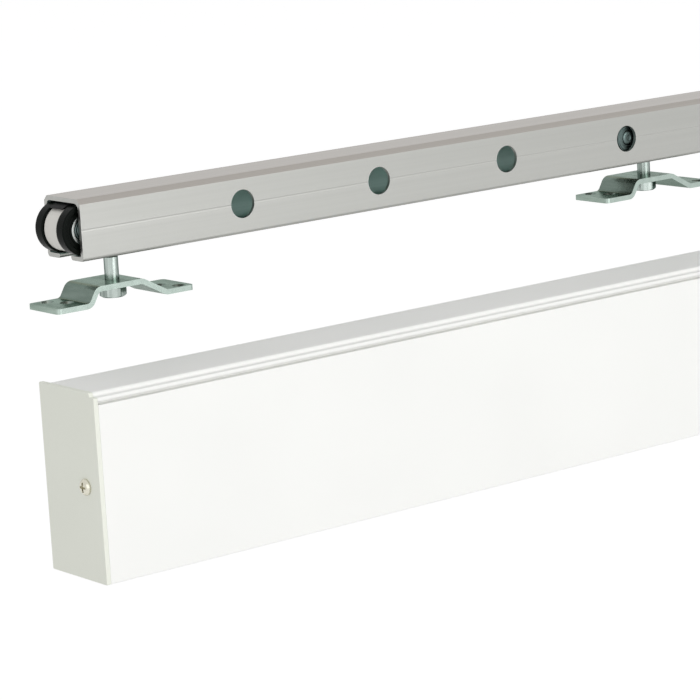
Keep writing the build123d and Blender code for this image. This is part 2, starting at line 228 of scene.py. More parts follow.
def prism(name: str, outline: Sequence[Point2], start: float, end: float, along: Turn) -> Piece:
    """A straight solid of one outline.

    Args:
        name: The object's name.
        outline: The outline in mm, in the two coordinates that the axis leaves.
        start: Where it starts along the axis, in mm.
        end: Where it ends, in mm.
        along: The axis.

    Returns:
        The closed solid.
    """
    shape = bmesh.new()
    first = [shape.verts.new(along.beside(start, *p) * MM) for p in outline]
    last = [shape.verts.new(along.beside(end, *p) * MM) for p in outline]
    count = len(outline)
    for i in range(count):
        j = (i + 1) % count
        shape.faces.new((first[i], first[j], last[j], last[i]))
    shape.faces.new(first[::-1])
    shape.faces.new(last)
    return new_object(name, shape)


def hexagon(name: str, across: float, start: float, end: float, centre: Point2) -> Piece:
    """An upright hexagonal prism.

    Args:
        name: Its name.
        across: Its width across the flats, in mm.
        start: The height of its foot, in mm.
        end: The height of its top, in mm.
        centre: Its middle as (x, y), in mm.

    Returns:
        The closed prism.
    """
    return prism(name, arc(centre, across / math.sqrt(3), 30, 330, 5), start, end, Turn.Z)


def turned(name: str, profile: Sequence[Point2], centre: Point3, about: Turn, sides: int = 64) -> Piece:
    """A solid of revolution.

    Args:
        name: The object's name.
        profile: A closed outline of (radius, height along the axis), in mm.
        centre: A point on the axis, in mm, where the height is 0.
        about: The axis.
        sides: The number of sides round the axis.

    Returns:
        The closed solid.
    """
    shape = bmesh.new()
    rings: list[list[bmesh.types.BMVert]] = []
    for k in range(sides):
        spots = [about.around(height, radius, 2 * math.pi * k / sides) for radius, height in profile]
        rings.append([shape.verts.new((Vector(centre) + spot) * MM) for spot in spots])
    count = len(profile)
    for here, there in zip(rings, rings[1:] + rings[:1]):
        for i in range(count):
            j = (i + 1) % count
            shape.faces.new((here[i], here[j], there[j], there[i]))
    bmesh.ops.remove_doubles(shape, verts=shape.verts, dist=1e-7)
    return new_object(name, shape)


def cylinder(radius: float, start: float, end: float, centre: Point3, about: Turn, sides: int = 64) -> Piece:
    """A plain round bar, with which holes are cut.

    Args:
        radius: Its radius, in mm.
        start: Where it starts along the axis, in mm.
        end: Where it ends, in mm.
        centre: A point on the axis, in mm, where the height is 0.
        about: The axis.
        sides: The number of sides round it.

    Returns:
        The closed bar.
    """
    return turned("bar", [(0, start), (radius, start), (radius, end), (0, end)], centre, about, sides)


def facing(way: Way, profile: Sequence[Point2]) -> list[Point2]:
    """A turned profile, drawn to look along its axis, that looks that way or the other one."""
    return [(radius, way.value * height) for radius, height in profile]


def bake(piece: Piece) -> Piece:
    """Puts the result of a piece's modifiers into its mesh.

    Args:
        piece: The object.

    Returns:
        The same object, with no modifiers.
    """
    graph = bpy.context.evaluated_depsgraph_get()
    data = bpy.data.meshes.new_from_object(piece.evaluated_get(graph))
    piece.modifiers.clear()
    old = piece.data
    piece.data = data
    data.name = piece.name
    bpy.data.meshes.remove(old)
    return piece


def combine(piece: Piece, tool: Piece, how: Cut) -> Piece:
    """Adds one solid to another, cuts it away or keeps what they share.

    Args:
        piece: The solid that stays.
        tool: The solid that is used up.
        how: What is done.

    Returns:
        The piece.
    """
    step = piece.modifiers.new("combine", "BOOLEAN")
    step.operation = how.value
    step.solver = "EXACT"
    step.object = tool
    bake(piece)
    bpy.data.objects.remove(tool)
    return piece


def join(name: str, parts: Iterable[Piece]) -> Piece:
    """Joins loose solids into one object.

    Args:
        name: The new object's name.
        parts: The objects, which are used up.

    Returns:
        The joined object.
    """
    shape = bmesh.new()
    for part in parts:
        shape.from_mesh(part.data)
        bpy.data.objects.remove(part)
    return new_object(name, shape)


@contextmanager
def editing(piece: Piece) -> Iterator[bmesh.types.BMesh]:
    """Lends a piece's mesh for changes and puts it back.

    Args:
        piece: The object.

    Yields:
        Its mesh.
    """
    shape = bmesh.new()
    shape.from_mesh(piece.data)
    yield shape
    shape.to_mesh(piece.data)
    shape.free()


def soften(piece: Piece, width: float, segments: int = 2, angle: float = 32.0) -> Piece:
    """Rounds the sharp edges of a piece a little and smooths its shading.

    Args:
        piece: The object.
        width: The width of the rounding, in mm; 0 leaves the edges sharp.
        segments: The number of faces across it.
        angle: The least angle of an edge that is rounded, in degrees.

    Returns:
        The piece.
    """
    with editing(piece) as shape:
        bmesh.ops.remove_doubles(shape, verts=shape.verts, dist=2e-6)
    if width > 0:
        edge = piece.modifiers.new("edges", "BEVEL")
        edge.width = width * MM
        edge.segments = segments
        edge.limit_method = "ANGLE"
        edge.angle_limit = math.radians(angle)
        edge.miter_outer = "MITER_ARC"
        bake(piece)
    with editing(piece) as shape:
        for face in shape.faces:
            face.smooth = True
        for line in shape.edges:
            line.smooth = len(line.link_faces) == 2 and line.calc_face_angle(0.0) < math.radians(SHARP_FROM)
    even = piece.modifiers.new("normals", "WEIGHTED_NORMAL")
    even.weight = 80
    even.keep_sharp = True
    return bake(piece)


class NodeWriter:
    """Adds nodes to one tree and feeds them."""

    def __init__(self, tree: bpy.types.NodeTree) -> None:
        """Takes the tree.

        Args:
            tree: The tree.
        """
        self.tree = tree

    def put(self, target: Socket, value: object) -> None:
        """Joins a socket to an input, or sets the input to a plain value.

        Args:
            target: The input.
            value: The socket or the value; a colour has three numbers.
        """
        if isinstance(value, Socket):
            self.tree.links.new(value, target)
        else:
            target.default_value = (*value, 1.0) if target.type == "RGBA" else value

    def add(self, kind: str, feeds: Feeds | None = None, **settings: object) -> bpy.types.Node:
        """Adds a node.

        Args:
            kind: The node's type.
            feeds: What goes into its inputs, by their names or numbers.
            settings: Its properties.

        Returns:
            The node.
        """
        made = self.tree.nodes.new(kind)
        for key, value in settings.items():
            setattr(made, key, value)
        for key, value in (feeds or {}).items():
            self.put(made.inputs[key], value)
        return made


class ShaderGroup(NodeWriter):
    """A shader node group that several materials place with their own values."""

    def __init__(self, name: str, inputs: dict[str, float], outputs: Sequence[str]) -> None:
        """Makes the group and its sockets.

        Args:
            name: The group's name.
            inputs: Each input's name and default.
            outputs: The names of the outputs, which are values.
        """
        super().__init__(bpy.data.node_groups.new(name, "ShaderNodeTree"))
        for label, value in inputs.items():
            socket = self.tree.interface.new_socket(label, in_out="INPUT", socket_type="NodeSocketFloat")
            socket.default_value = value
        for label in outputs:
            self.tree.interface.new_socket(label, in_out="OUTPUT", socket_type="NodeSocketFloat")
        self.source = self.add("NodeGroupInput").outputs
        self.sink = self.add("NodeGroupOutput").inputs
        self.place = self.add("ShaderNodeTexCoord").outputs

    def math(self, operation: str, a: object, b: object = 0.0) -> Socket:
        """The result of a math node of two sockets or numbers."""
        return self.add("ShaderNodeMath", {0: a, 1: b}, operation=operation).outputs[0]

    def axes(self, label: str) -> Sequence[Socket]:
        """The X, Y and Z of one of the surface's coordinates."""
        return self.add("ShaderNodeSeparateXYZ", {0: self.place[label]}).outputs

    def noise(self, place: Socket, scale: object, detail: float, roughness: float = 0.5) -> Socket:
        """A noise pattern.

        Args:
            place: The coordinates it is read at.
            scale: Its scale, as a number or a socket.
            detail: Its detail.
            roughness: The weight of its detail.

        Returns:
            The pattern, mostly from 0.3 to 0.7.
        """
        feeds = {"Vector": place, "Scale": scale, "Detail": detail, "Roughness": roughness}
        return self.add("ShaderNodeTexNoise", feeds).outputs["Fac"]


class DrawnLines(ShaderGroup):
    """Fine lines that run along one axis, as on an extrusion or a brushed strip."""

    def __init__(self) -> None:
        """Builds the group."""
        super().__init__("drawn_lines", {"X": 3.0, "Y": 900.0, "Z": 900.0, "Coarse": 0.35}, ["Fine", "Broad"])
        split = self.axes("Object")
        stretched = {axis: self.math("MULTIPLY", split[axis], self.source[axis]) for axis in "XYZ"}
        place = self.add("ShaderNodeCombineXYZ", stretched).outputs[0]
        slow = self.add("ShaderNodeVectorMath", {0: place, "Scale": self.source["Coarse"]}, operation="SCALE")
        self.put(self.sink["Fine"], self.noise(place, 1.0, 3.0, 0.6))
        self.put(self.sink["Broad"], self.noise(slow.outputs[0], 1.0, 2.0))


class MouldedSkin(ShaderGroup):
    """The faint orange peel and slow unevenness of a moulded or painted surface."""

    def __init__(self) -> None:
        """Builds the group."""
        super().__init__("moulded_skin", {"Peel": 900.0, "Cloud": 14.0}, ["Peel", "Cloud"])
        for label, detail in (("Peel", 2.0), ("Cloud", 1.0)):
            self.put(self.sink[label], self.noise(self.place["Object"], self.source[label], detail))


class PlatedGrain(ShaderGroup):
    """The spangle of zinc plating: cells that differ a little, and a slow drift of tint."""

    def __init__(self) -> None:
        """Builds the group."""
        super().__init__("plated_grain", {"Cell": 420.0, "Drift": 38.0}, ["Cell", "Drift", "Speck"])
        place, cell = self.place["Object"], self.source["Cell"]
        cells = self.add("ShaderNodeTexVoronoi", {"Vector": place, "Scale": cell}, feature="F1")
        split = self.add("ShaderNodeSeparateColor", {0: cells.outputs["Color"]})
        self.put(self.sink["Cell"], split.outputs[0])
        self.put(self.sink["Drift"], self.noise(place, self.source["Drift"], 3.0))
        self.put(self.sink["Speck"], self.noise(place, self.math("MULTIPLY", cell, 3.0), 4.0))


class BentZones(ShaderGroup):
    """Masks of a bent strip: its sloped faces, for a painted shade; its bends, for a brown tint; its cut
    edges, for a painted highlight.
    """

    def __init__(self) -> None:
        """Builds the group."""
        super().__init__("bent_zones", {"Slope": 0.7, "Bend": 0.4, "Edge": 0.7}, ["Slope", "Bend", "Edge"])
        normal = self.axes("Normal")
        lean = self.math("ABSOLUTE", self.math("MULTIPLY", normal["X"], normal["Z"]))
        full = self.math("MINIMUM", self.math("MULTIPLY", lean, 2.3), 1.0)
        hump = self.math("MULTIPLY", self.math("MULTIPLY", full, self.math("SUBTRACT", 1.0, full)), 4.0)
        cut = self.math("ABSOLUTE", normal["Y"])
        for label, zone in (("Slope", full), ("Bend", hump), ("Edge", cut)):
            self.put(self.sink[label], self.math("MULTIPLY", zone, self.source[label]))


class Paint(NodeWriter):
    """A material under construction: its shader, and short ways to feed it."""

    def __init__(self, name: str) -> None:
        """Makes the material with one Principled shader.

        Args:
            name: The material's name.
        """
        self.material = bpy.data.materials.new(name)
        self.material.use_nodes = True
        super().__init__(self.material.node_tree)

    def feed(self, values: dict[str, object]) -> None:
        """Feeds the shader's inputs, by their names, with sockets or plain values."""
        for label, value in values.items():
            self.put(self.tree.nodes["Principled BSDF"].inputs[label], value)

    def group(self, group: ShaderGroup, **values: float) -> Sequence[Socket]:
        """The outputs of a shared group, placed with this material's own values for its inputs."""
        return self.add("ShaderNodeGroup", values, node_tree=group.tree).outputs

    def spread(self, pattern: Socket, low: float, high: float) -> Socket:
        """A pattern that runs from about 0.3 to 0.7, mapped onto a range."""
        feeds = {"Value": pattern, "From Min": 0.3, "From Max": 0.7, "To Min": low, "To Max": high}
        return self.add("ShaderNodeMapRange", feeds).outputs[0]

    def mix(self, share: Socket, under: object, over: object) -> Socket:
        """A colour laid over another by its share."""
        return self.add("ShaderNodeMix", {0: share, 6: under, 7: over}, data_type="RGBA").outputs[2]

    def bumps(self, *heights: tuple[Socket, float]) -> Socket:
        """The normal after bumps, one after the other.

        Args:
            heights: Each pattern with its height in mm.

        Returns:
            The normal's socket.
        """
        normal: dict[str, Socket] = {}
        for pattern, height in heights:
            bump = self.add("ShaderNodeBump", {"Height": pattern, "Distance": height * MM, **normal})
            normal = {"Normal": bump.outputs[0]}
        return normal["Normal"]


@dataclass(frozen=True)
class Finish:
    """What every finish has: a name, two colours that it drifts between, and a range of roughness."""

    name: str
    low: Color
    high: Color
    rough: Point2

    def color(self, paint: Paint, pattern: Socket) -> Socket:
        """The base colour, drifting with a pattern."""
        return paint.mix(paint.spread(pattern, 0.0, 1.0), self.low, self.high)

    def make(self, works: "Workshop") -> bpy.types.Material:
        """Builds the material with the workshop's groups; each kind of finish has its own way."""
        raise NotImplementedError


@dataclass(frozen=True)
class AnodisedFinish(Finish):
    """Matt anodised aluminium with the lines of its extrusion."""

    rough: Point2 = (0.34, 0.44)

    def make(self, works: "Workshop") -> bpy.types.Material:
        """Builds the material.

        Args:
            works: The workshop, whose groups it places.

        Returns:
            The material.
        """
        paint = Paint(self.name)
        lines = paint.group(works.lines, X=2.5, Y=1100.0, Z=1100.0, Coarse=0.22)
        skin = paint.group(works.skin, Peel=2600.0, Cloud=9.0)
        paint.feed({
            "Base Color": self.color(paint, lines["Broad"]),
            "Roughness": paint.spread(lines["Fine"], *self.rough),
            "Metallic": 1.0,
            "Normal": paint.bumps((lines["Fine"], 0.0016), (skin["Peel"], 0.0012)),
        })
        return paint.material


@dataclass(frozen=True)
class PlasticFinish(Finish):
    """A moulded or extruded plastic."""

    peel: float = 0.003
    cloud_scale: float = 14.0
    specular: float = 0.5

    def make(self, works: "Workshop") -> bpy.types.Material:
        """Builds the material.

        Args:
            works: The workshop, whose groups it places.

        Returns:
            The material.
        """
        paint = Paint(self.name)
        skin = paint.group(works.skin, Peel=900.0, Cloud=self.cloud_scale)
        paint.feed({
            "Base Color": self.color(paint, skin["Cloud"]),
            "Roughness": paint.spread(skin["Peel"], *self.rough),
            "Specular IOR Level": self.specular,
            "Normal": paint.bumps((skin["Peel"], self.peel)),
        })
        return paint.material


@dataclass(frozen=True)
class PlatedFinish(Finish):
    """Steel with a zinc or nickel plating: its streaks, a painted shade on its slopes, a brown tint at its
    bends, a painted highlight on its cut edges, and its colour at a grazing angle.
    """

    cell: float = 420.0
    drift: float = 38.0
    height: float = 0.002
    streak: Point3 | None = None
    zones: tuple[tuple[str, float, Color], ...] = ()
    glance: Color = WHITE

    def make(self, works: "Workshop") -> bpy.types.Material:
        """Builds the material.

        Args:
            works: The workshop, whose groups it places.

        Returns:
            The material.
        """
        paint = Paint(self.name)
        grain = paint.group(works.grain, Cell=self.cell, Drift=self.drift)
        pattern = grain["Drift"]
        if self.streak is not None:
            stretch = dict(zip("XYZ", self.streak))
            pattern = paint.group(works.lines, **stretch, Coarse=1.0)["Broad"]
        color = self.color(paint, pattern)
        # Laid over the colour: a painted shade on sloped faces, a brown tint at bends, and a painted
        # highlight on cut edges.
        if self.zones:
            bent = paint.group(works.bends, **{label: share for label, share, _ in self.zones})
            for label, _, tint in self.zones:
                color = paint.mix(bent[label], color, tint)
        paint.feed({
            "Base Color": color,
            "Roughness": paint.spread(grain["Cell"], *self.rough),
            "Metallic": 1.0,
            "Specular Tint": self.glance,
            "Normal": paint.bumps((grain["Speck"], self.height)),
        })
        return paint.material


ALUMINIUM = AnodisedFinish("satin_aluminium", (0.408, 0.411, 0.391), (0.434, 0.437, 0.417))
# Painted shade: the rail's top and its bevels get a darker, pinker copy of the aluminium, for the way the
# light falls on the top.
TRACK_TOP_PAINTED_SHADE = AnodisedFinish("track_top", (0.378, 0.356, 0.330), (0.404, 0.381, 0.354))
# Painted shade: the channel's inside gets a slate-teal copy of the aluminium, the tint its walls take in
# shade.
CHANNEL_PAINTED_SHADE = AnodisedFinish("channel_inside", (0.52, 0.68, 0.64), (0.57, 0.73, 0.69), (0.50, 0.60))
COVER_WHITE = PlasticFinish(
    "cover_white", (0.935, 0.938, 0.915), (0.955, 0.958, 0.935), (0.42, 0.50), peel=0.0015, specular=0.25,
)
CAP_GREY = PlasticFinish(
    "cap_grey", (0.845, 0.864, 0.778), (0.883, 0.902, 0.816), (0.46, 0.56), peel=0.004, specular=0.25,
)
BODY_WHITE = PlasticFinish("body_white", (0.72, 0.70, 0.66), (0.77, 0.76, 0.71), (0.38, 0.50), peel=0.004)
GUIDE_BLACK = PlasticFinish(
    "guide_black", (0.003, 0.003, 0.0035), (0.006, 0.006, 0.0065), (0.34, 0.46), specular=0.08,
)
WHEEL_BLACK = PlasticFinish(
    "wheel_black", (0.003, 0.0045, 0.0035), (0.005, 0.007, 0.0055), (0.24, 0.34),
    peel=0.002, cloud_scale=60.0, specular=0.05,
)
BUFFER_BLACK = PlasticFinish(
    "buffer_black", (0.015, 0.015, 0.015), (0.025, 0.025, 0.025), (0.6, 0.75), peel=0.008,
)
# Painted light on the zinc: sloped faces are darkened (painted shade), bends get a brown tint, and the cut
# edges that face along Y are lightened (painted highlight).
ZINC = PlatedFinish(
    "zinc_plate", (0.17, 0.225, 0.19), (0.37, 0.45, 0.40), (0.20, 0.28),
    streak=(210.0, 30.0, 210.0), height=0.0004, glance=(0.50, 0.57, 0.53),
    zones=(
        ("Slope", 0.65, (0.10, 0.13, 0.115)),
        ("Bend", 0.4, (0.28, 0.24, 0.17)),
        ("Edge", 0.75, (0.44, 0.52, 0.48)),
    ),
)
# Painted shade: the dark glance colour darkens the bolt's sides where they are seen at a grazing angle.
BOLT_ZINC = PlatedFinish(
    "bolt_zinc", (0.16, 0.20, 0.18), (0.50, 0.56, 0.53), (0.16, 0.26),
    streak=(330.0, 330.0, 12.0), height=0.0005, glance=(0.14, 0.17, 0.16),
)
TURNED_STEEL = PlatedFinish(
    "turned_steel", (0.28, 0.30, 0.29), (0.36, 0.38, 0.37), (0.24, 0.34),
    cell=900.0, drift=90.0, height=0.0005,
)
# Dark slate steel of the axles and the bearing shields, in the colour that the channel's inside takes in
# shade: partly their own dark steel, partly painted shade.
AXLE_SLATE_AND_PAINTED_SHADE = PlatedFinish(
    "axle_slate", (0.095, 0.13, 0.125), (0.125, 0.165, 0.16), (0.30, 0.42),
    cell=900.0, drift=90.0, height=0.0005,
)
SCREW_NICKEL = PlatedFinish(
    "screw_nickel", (0.62, 0.60, 0.50), (0.72, 0.70, 0.60), (0.2, 0.34), cell=900.0, drift=120.0,
)


class ShapeTree(NodeWriter):
    """A geometry node tree with named inputs, which ends in real geometry with its material."""

    def __init__(self, name: str, inputs: dict[str, str]) -> None:
        """Makes the tree and its sockets.

        Args:
            name: The tree's name.
            inputs: Each input's name and kind, such as Float.
        """
        super().__init__(bpy.data.node_groups.new(name, "GeometryNodeTree"))
        sockets = self.tree.interface
        self.ids: dict[str, str] = {}
        for label, kind in {"Geometry": "Geometry", **inputs, "Material": "Material"}.items():
            made = sockets.new_socket(label, in_out="INPUT", socket_type=f"NodeSocket{kind}")
            self.ids[label] = made.identifier
        sockets.new_socket("Geometry", in_out="OUTPUT", socket_type="NodeSocketGeometry")
        self.source = self.add("NodeGroupInput").outputs
        self.sink = self.add("NodeGroupOutput").inputs

    def along_x(self, label: str) -> Socket:
        """A vector along X as long as the named input."""
        return self.add("ShaderNodeCombineXYZ", {"X": self.source[label]}).outputs[0]

    def close(self, result: Socket) -> None:
        """Ends the tree: makes the result real and gives it its material.

        Args:
            result: The geometry that the tree has made.
        """
        real = self.add("GeometryNodeRealizeInstances", {0: result}).outputs[0]
        paint = self.add("GeometryNodeSetMaterial", {"Geometry": real, "Material": self.source["Material"]})
        self.put(self.sink[0], paint.outputs[0])

    def run(self, piece: Piece, material: bpy.types.Material, values: dict[str, object]) -> Piece:
        """Puts the tree's result into a piece's mesh.

        Args:
            piece: The object that the tree works on.
            material: The material it sets.
            values: The other inputs by name, in metres.

        Returns:
            The piece.
        """
        step = piece.modifiers.new(self.tree.name, "NODES")
        step.node_group = self.tree
        for label, value in {**values, "Material": material}.items():
            step[self.ids[label]] = value
        return bake(piece)


class ExtrusionTree(ShapeTree):
    """Draws a section face out along X and closes it at both ends."""

    def __init__(self) -> None:
        """Builds the tree."""
        super().__init__("section_extrusion", {"Length": "Float"})
        section = self.source["Geometry"]
        feeds = {"Mesh": section, "Offset": self.along_x("Length"), "Individual": False}
        drawn = self.add("GeometryNodeExtrudeMesh", feeds, mode="FACES")
        start = self.add("GeometryNodeFlipFaces", {"Mesh": section})
        both = self.add("GeometryNodeJoinGeometry", {0: drawn.outputs["Mesh"]})
        self.put(both.inputs[0], start.outputs["Mesh"])
        weld = self.add("GeometryNodeMergeByDistance", {"Geometry": both.outputs[0], "Distance": 1e-6})
        self.close(weld.outputs[0])


class HoleRowTree(ShapeTree):
    """Drills a row of round holes along X through what faces Y."""

    def __init__(self) -> None:
        """Builds the tree."""
        sizes = dict.fromkeys(("Pitch", "Radius", "Depth"), "Float")
        super().__init__("hole_row", {"Start": "Vector", "Count": "Int", **sizes})
        given = self.source
        drill = self.add(
            "GeometryNodeMeshCylinder", {"Vertices": 64, "Radius": given["Radius"], "Depth": given["Depth"]},
            fill_type="NGON",
        )
        level = self.add("GeometryNodeTransform", {
            "Geometry": drill.outputs["Mesh"], "Rotation": (math.pi / 2, 0, 0),
        })
        feeds = {"Count": given["Count"], "Start Location": given["Start"], "Offset": self.along_x("Pitch")}
        row = self.add("GeometryNodeMeshLine", feeds, mode="OFFSET")
        feeds = {"Points": row.outputs[0], "Instance": level.outputs[0]}
        drills = self.add("GeometryNodeInstanceOnPoints", feeds)
        real = self.add("GeometryNodeRealizeInstances", {0: drills.outputs[0]})
        feeds = {"Mesh 1": given["Geometry"], "Mesh 2": real.outputs[0]}
        cut = self.add("GeometryNodeMeshBoolean", feeds, operation="DIFFERENCE", solver="EXACT")
        self.close(cut.outputs["Mesh"])


class ThreadTree(ShapeTree):
    """Winds a thread's ridge round a vertical bolt."""

    def __init__(self) -> None:
        """Builds the tree."""
        sizes = dict.fromkeys(("Radius", "Pitch", "Turns", "Ridge"), "Float")
        super().__init__("bolt_thread", {"Start": "Vector", **sizes})
        given = self.source
        rise = self.add("ShaderNodeMath", {0: given["Pitch"], 1: given["Turns"]}, operation="MULTIPLY")
        path = self.add("GeometryNodeCurveSpiral", {
            "Resolution": 28, "Rotations": given["Turns"], "Height": rise.outputs[0],
            "Start Radius": given["Radius"], "End Radius": given["Radius"],
        })
        feeds = {"Resolution": 4, "Radius": given["Ridge"]}
        ridge = self.add("GeometryNodeCurvePrimitiveCircle", feeds, mode="RADIUS")
        sweep = self.add("GeometryNodeCurveToMesh", {
            "Curve": path.outputs[0], "Profile Curve": ridge.outputs[0], "Fill Caps": True,
        })
        feeds = {"Geometry": sweep.outputs[0], "Translation": given["Start"]}
        lift = self.add("GeometryNodeTransform", feeds)
        self.close(lift.outputs[0])


@dataclass
class Workshop:
    """What every sub-assembly is made with: the shader groups, the three trees and the materials."""

    lines: DrawnLines = field(default_factory=DrawnLines)
    skin: MouldedSkin = field(default_factory=MouldedSkin)
    grain: PlatedGrain = field(default_factory=PlatedGrain)
    bends: BentZones = field(default_factory=BentZones)
    extrusion: ExtrusionTree = field(default_factory=ExtrusionTree)
    hole_row: HoleRowTree = field(default_factory=HoleRowTree)
    thread: ThreadTree = field(default_factory=ThreadTree)
    ready: dict[Finish, bpy.types.Material] = field(default_factory=dict)

    def material(self, finish: Finish) -> bpy.types.Material:
        """The material of a finish.

        Args:
            finish: The finish.

        Returns:
            Its material, which is made on first use.
        """
        if finish not in self.ready:
            self.ready[finish] = finish.make(self)
        return self.ready[finish]

    def extrude(self, name: str, outline: Sequence[Point2], start: float, length: float) -> Piece:
        """An extrusion along X.

        Args:
            name: The piece's name.
            outline: Its section as (y, z), in mm.
            start: Where it starts, in mm.
            length: Its length, in mm.

        Returns:
            The closed piece.
        """
        shape = bmesh.new()
        shape.faces.new([shape.verts.new(Vector((start, y, z)) * MM) for y, z in outline])
        piece = new_object(name, shape)
        return self.extrusion.run(piece, self.material(ALUMINIUM), {"Length": length * MM})

    def dress(self, piece: Piece, finish: Finish, body: str, slot: str, *nodes: str) -> None:
        """Gives a finished piece its material and its body, and hides the nodes it stands for.

        Args:
            piece: The finished piece, at the origin.
            finish: Its finish.
            body: The body it rides on.
            slot: The record's material slot; not used.
            nodes: The nodes it stands for.
        """
        piece.data.materials.clear()
        piece.data.materials.append(self.material(finish))
        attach(piece, body)
        if nodes:
            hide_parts(*nodes)
        LOG.info("%s: %d faces on %s", piece.name, len(piece.data.polygons), body)

    def paint_where(self, piece: Piece, finish: Finish, wanted: Picker) -> None:
        """Gives some faces of a dressed piece a further finish.

        Args:
            piece: The piece.
            finish: The further finish.
            wanted: Says for a face's centre, in mm, and its normal whether it gets that finish.
        """
        place = len(piece.data.materials)
        piece.data.materials.append(self.material(finish))
        for face in piece.data.polygons:
            if wanted(face.center / MM, face.normal):
                face.material_index = place


@dataclass
class Assembly:
    """A sub-assembly, which is made in the workshop."""

    works: Workshop


@dataclass
class TrackRail(Assembly):
    """The slotted aluminium channel with its row of screwdriver holes."""

    length: float = 1000.0
    depth: float = 35.0
    height: float = 34.0
    side_wall: float = 2.2
    top_wall: float = 2.5
    lip: float = 2.5
    slot: float = 11.0
    top_bevel: float = 2.8
    groove: Point2 = (1.4, 0.15)
    crease: float = 0.5
    bottom_round: float = 2.1
    ceiling_round: float = 3.0
    floor_round: float = 1.0
    lip_round: float = 0.6
    slot_round: float = 1.7
    edge_width: float = 0.18
    hole_pitch: float = 98.0
    hole_count: int = 9
    access_hole: float = 16.0
    wall_hole: float = 5.2

    def section(self) -> list[Point2]:
        """The rail's section.

        Returns:
            One outline as (y, z), which runs in through the slot and round the channel.
        """
        top, low = self.height / 2, -self.height / 2
        ceiling, floor = top - self.top_wall, low + self.lip
        front, inner_front, inner_back = -self.depth, -self.depth + self.side_wall, -self.side_wall
        slot_front, slot_back = MID_Y - self.slot / 2, MID_Y + self.slot / 2
        line, crease = self.groove[0] / 2, self.crease
        return rounded([
            (slot_front, low, self.slot_round),
            (slot_front, floor, self.lip_round),
            (inner_front, floor, self.floor_round),
            (inner_front, ceiling, self.ceiling_round),
            (inner_back, ceiling, self.ceiling_round),
            (inner_back, floor, self.floor_round),
            (slot_back, floor, self.lip_round),
            (slot_back, low, self.slot_round),
            (0, low, self.bottom_round),
            (0, top - self.top_bevel, crease),
            (-self.top_bevel, top, crease),
            (front + self.top_bevel, top, crease),
            (front, top - self.top_bevel, crease),
            (front, line, crease),
            (front + self.groove[1], 0, crease),
            (front, -line, crease),
            (front, low, self.bottom_round),
        ])

    def build(self) -> None:
        """Builds and dresses the rail."""
        works = self.works
        rail = works.extrude("rail", self.section(), -self.length / 2, self.length)
        first = -self.hole_pitch * (self.hole_count - 1) / 2
        for width, y in ((self.access_hole, -self.depth), (self.wall_hole, 0.0)):
            works.hole_row.run(rail, works.material(ALUMINIUM), {
                "Start": (first * MM, y * MM, 0.0),
                "Count": self.hole_count,
                "Pitch": self.hole_pitch * MM,
                "Radius": width / 2 * MM,
                "Depth": 4 * self.side_wall * MM,
            })
        soften(rail, self.edge_width, 2, 50)
        works.dress(rail, ALUMINIUM, "track", "aluminium", "track_rail")
        # Painted shade: the walls, ceiling and floor of the channel take the slate-teal copy of the
        # aluminium.
        works.paint_where(rail, CHANNEL_PAINTED_SHADE, self.is_inside)
        # Painted shade: the top faces take the darker, pinker copy of the aluminium.
        works.paint_where(rail, TRACK_TOP_PAINTED_SHADE, self.is_top)

    def is_inside(self, centre: Vector, normal: Vector) -> bool:
        """Whether a face belongs to the walls, the ceiling or the floor of the channel.

        Args:
            centre: The face's centre, in mm.
            normal: The face's normal.

        Returns:
            True inside the channel, but not on the rail's ends.
        """
        skin = 0.4
        across = -self.depth + self.side_wall - skin < centre.y < -self.side_wall + skin
        upright = -self.height / 2 + self.lip - skin < centre.z < self.height / 2 - self.top_wall + skin
        return across and upright and abs(normal.x) < 0.9

    def is_top(self, centre: Vector, normal: Vector) -> bool:
        """Whether a face belongs to the rail's top or to the bevels beside it, which get the painted shade.
        """
        return normal.z > 0.5 and centre.z > self.height / 2 - self.top_bevel - 0.5


@dataclass
class TrackStop(Assembly):
    """The stop at the far end of the track: block, buffer and clamp screw."""

    face_x: float = 470.0
    length: float = 24.0
    half_width: float = 13.0
    floor_z: float = -14.5
    ceiling_z: float = 14.5
    height: float = 20.0
    buffer_length: float = 8.0
    buffer_radius: float = 8.0
    buffer_waist: float = 0.7
    screw_radius: float = 4.0
    screw_length: float = 22.0
    screw_tip: Point2 = (2.6, 1.4)
    socket: Point2 = (4.0, 5.0)

    def build(self) -> None:
        """Builds and dresses the three pieces."""
        mid = self.face_x + self.length / 2
        plan = rectangle(
            (self.face_x, MID_Y - self.half_width), (self.face_x + self.length, MID_Y + self.half_width), 0.6,
        )
        block = prism("stop_body", plan, self.floor_z, self.floor_z + self.height, Turn.Z)
        drill = cylinder(self.screw_radius, -PAST, self.height + PAST, (mid, MID_Y, self.floor_z), Turn.Z)
        soften(combine(block, drill, Cut.REMOVE), 0.6, 3)
        self.works.dress(block, ZINC, "track", "zinc", "stop_block")

        r, reach = self.buffer_radius, self.buffer_length
        waist = r - self.buffer_waist
        profile = rounded([
            (0, 0, 0), (r, 0, 0), (r, -2.2, 0.3), (waist, -2.7, 0.3), (waist, -3.5, 0.3), (r, -4.0, 0.3),
            (r, -reach, 2.0), (0, -reach, 0),
        ], 6)
        face = (self.face_x, MID_Y, self.floor_z + self.height / 2)
        buffer = soften(turned("stop_pad", profile, face, Turn.X), 0)
        self.works.dress(buffer, BUFFER_BLACK, "track", "rubber", "stop_buffer")

        r, high, low = self.screw_radius, self.ceiling_z, self.ceiling_z - self.screw_length
        flat, bevel = self.screw_tip
        profile = rounded([
            (0, high, 0), (flat, high, 0.2), (r, high - bevel, 0.2), (r, low, 0.5), (0, low, 0),
        ], 3)
        screw = turned("stop_grub_screw", profile, (mid, MID_Y, 0), Turn.Z, 48)
        across, sink = self.socket
        combine(screw, hexagon("socket", across, low - OVERLAP, low + sink, (mid, MID_Y)), Cut.REMOVE)
        soften(screw, 0.15)
        self.works.dress(screw, BOLT_ZINC, "track", "bolt_steel", "stop_screw")


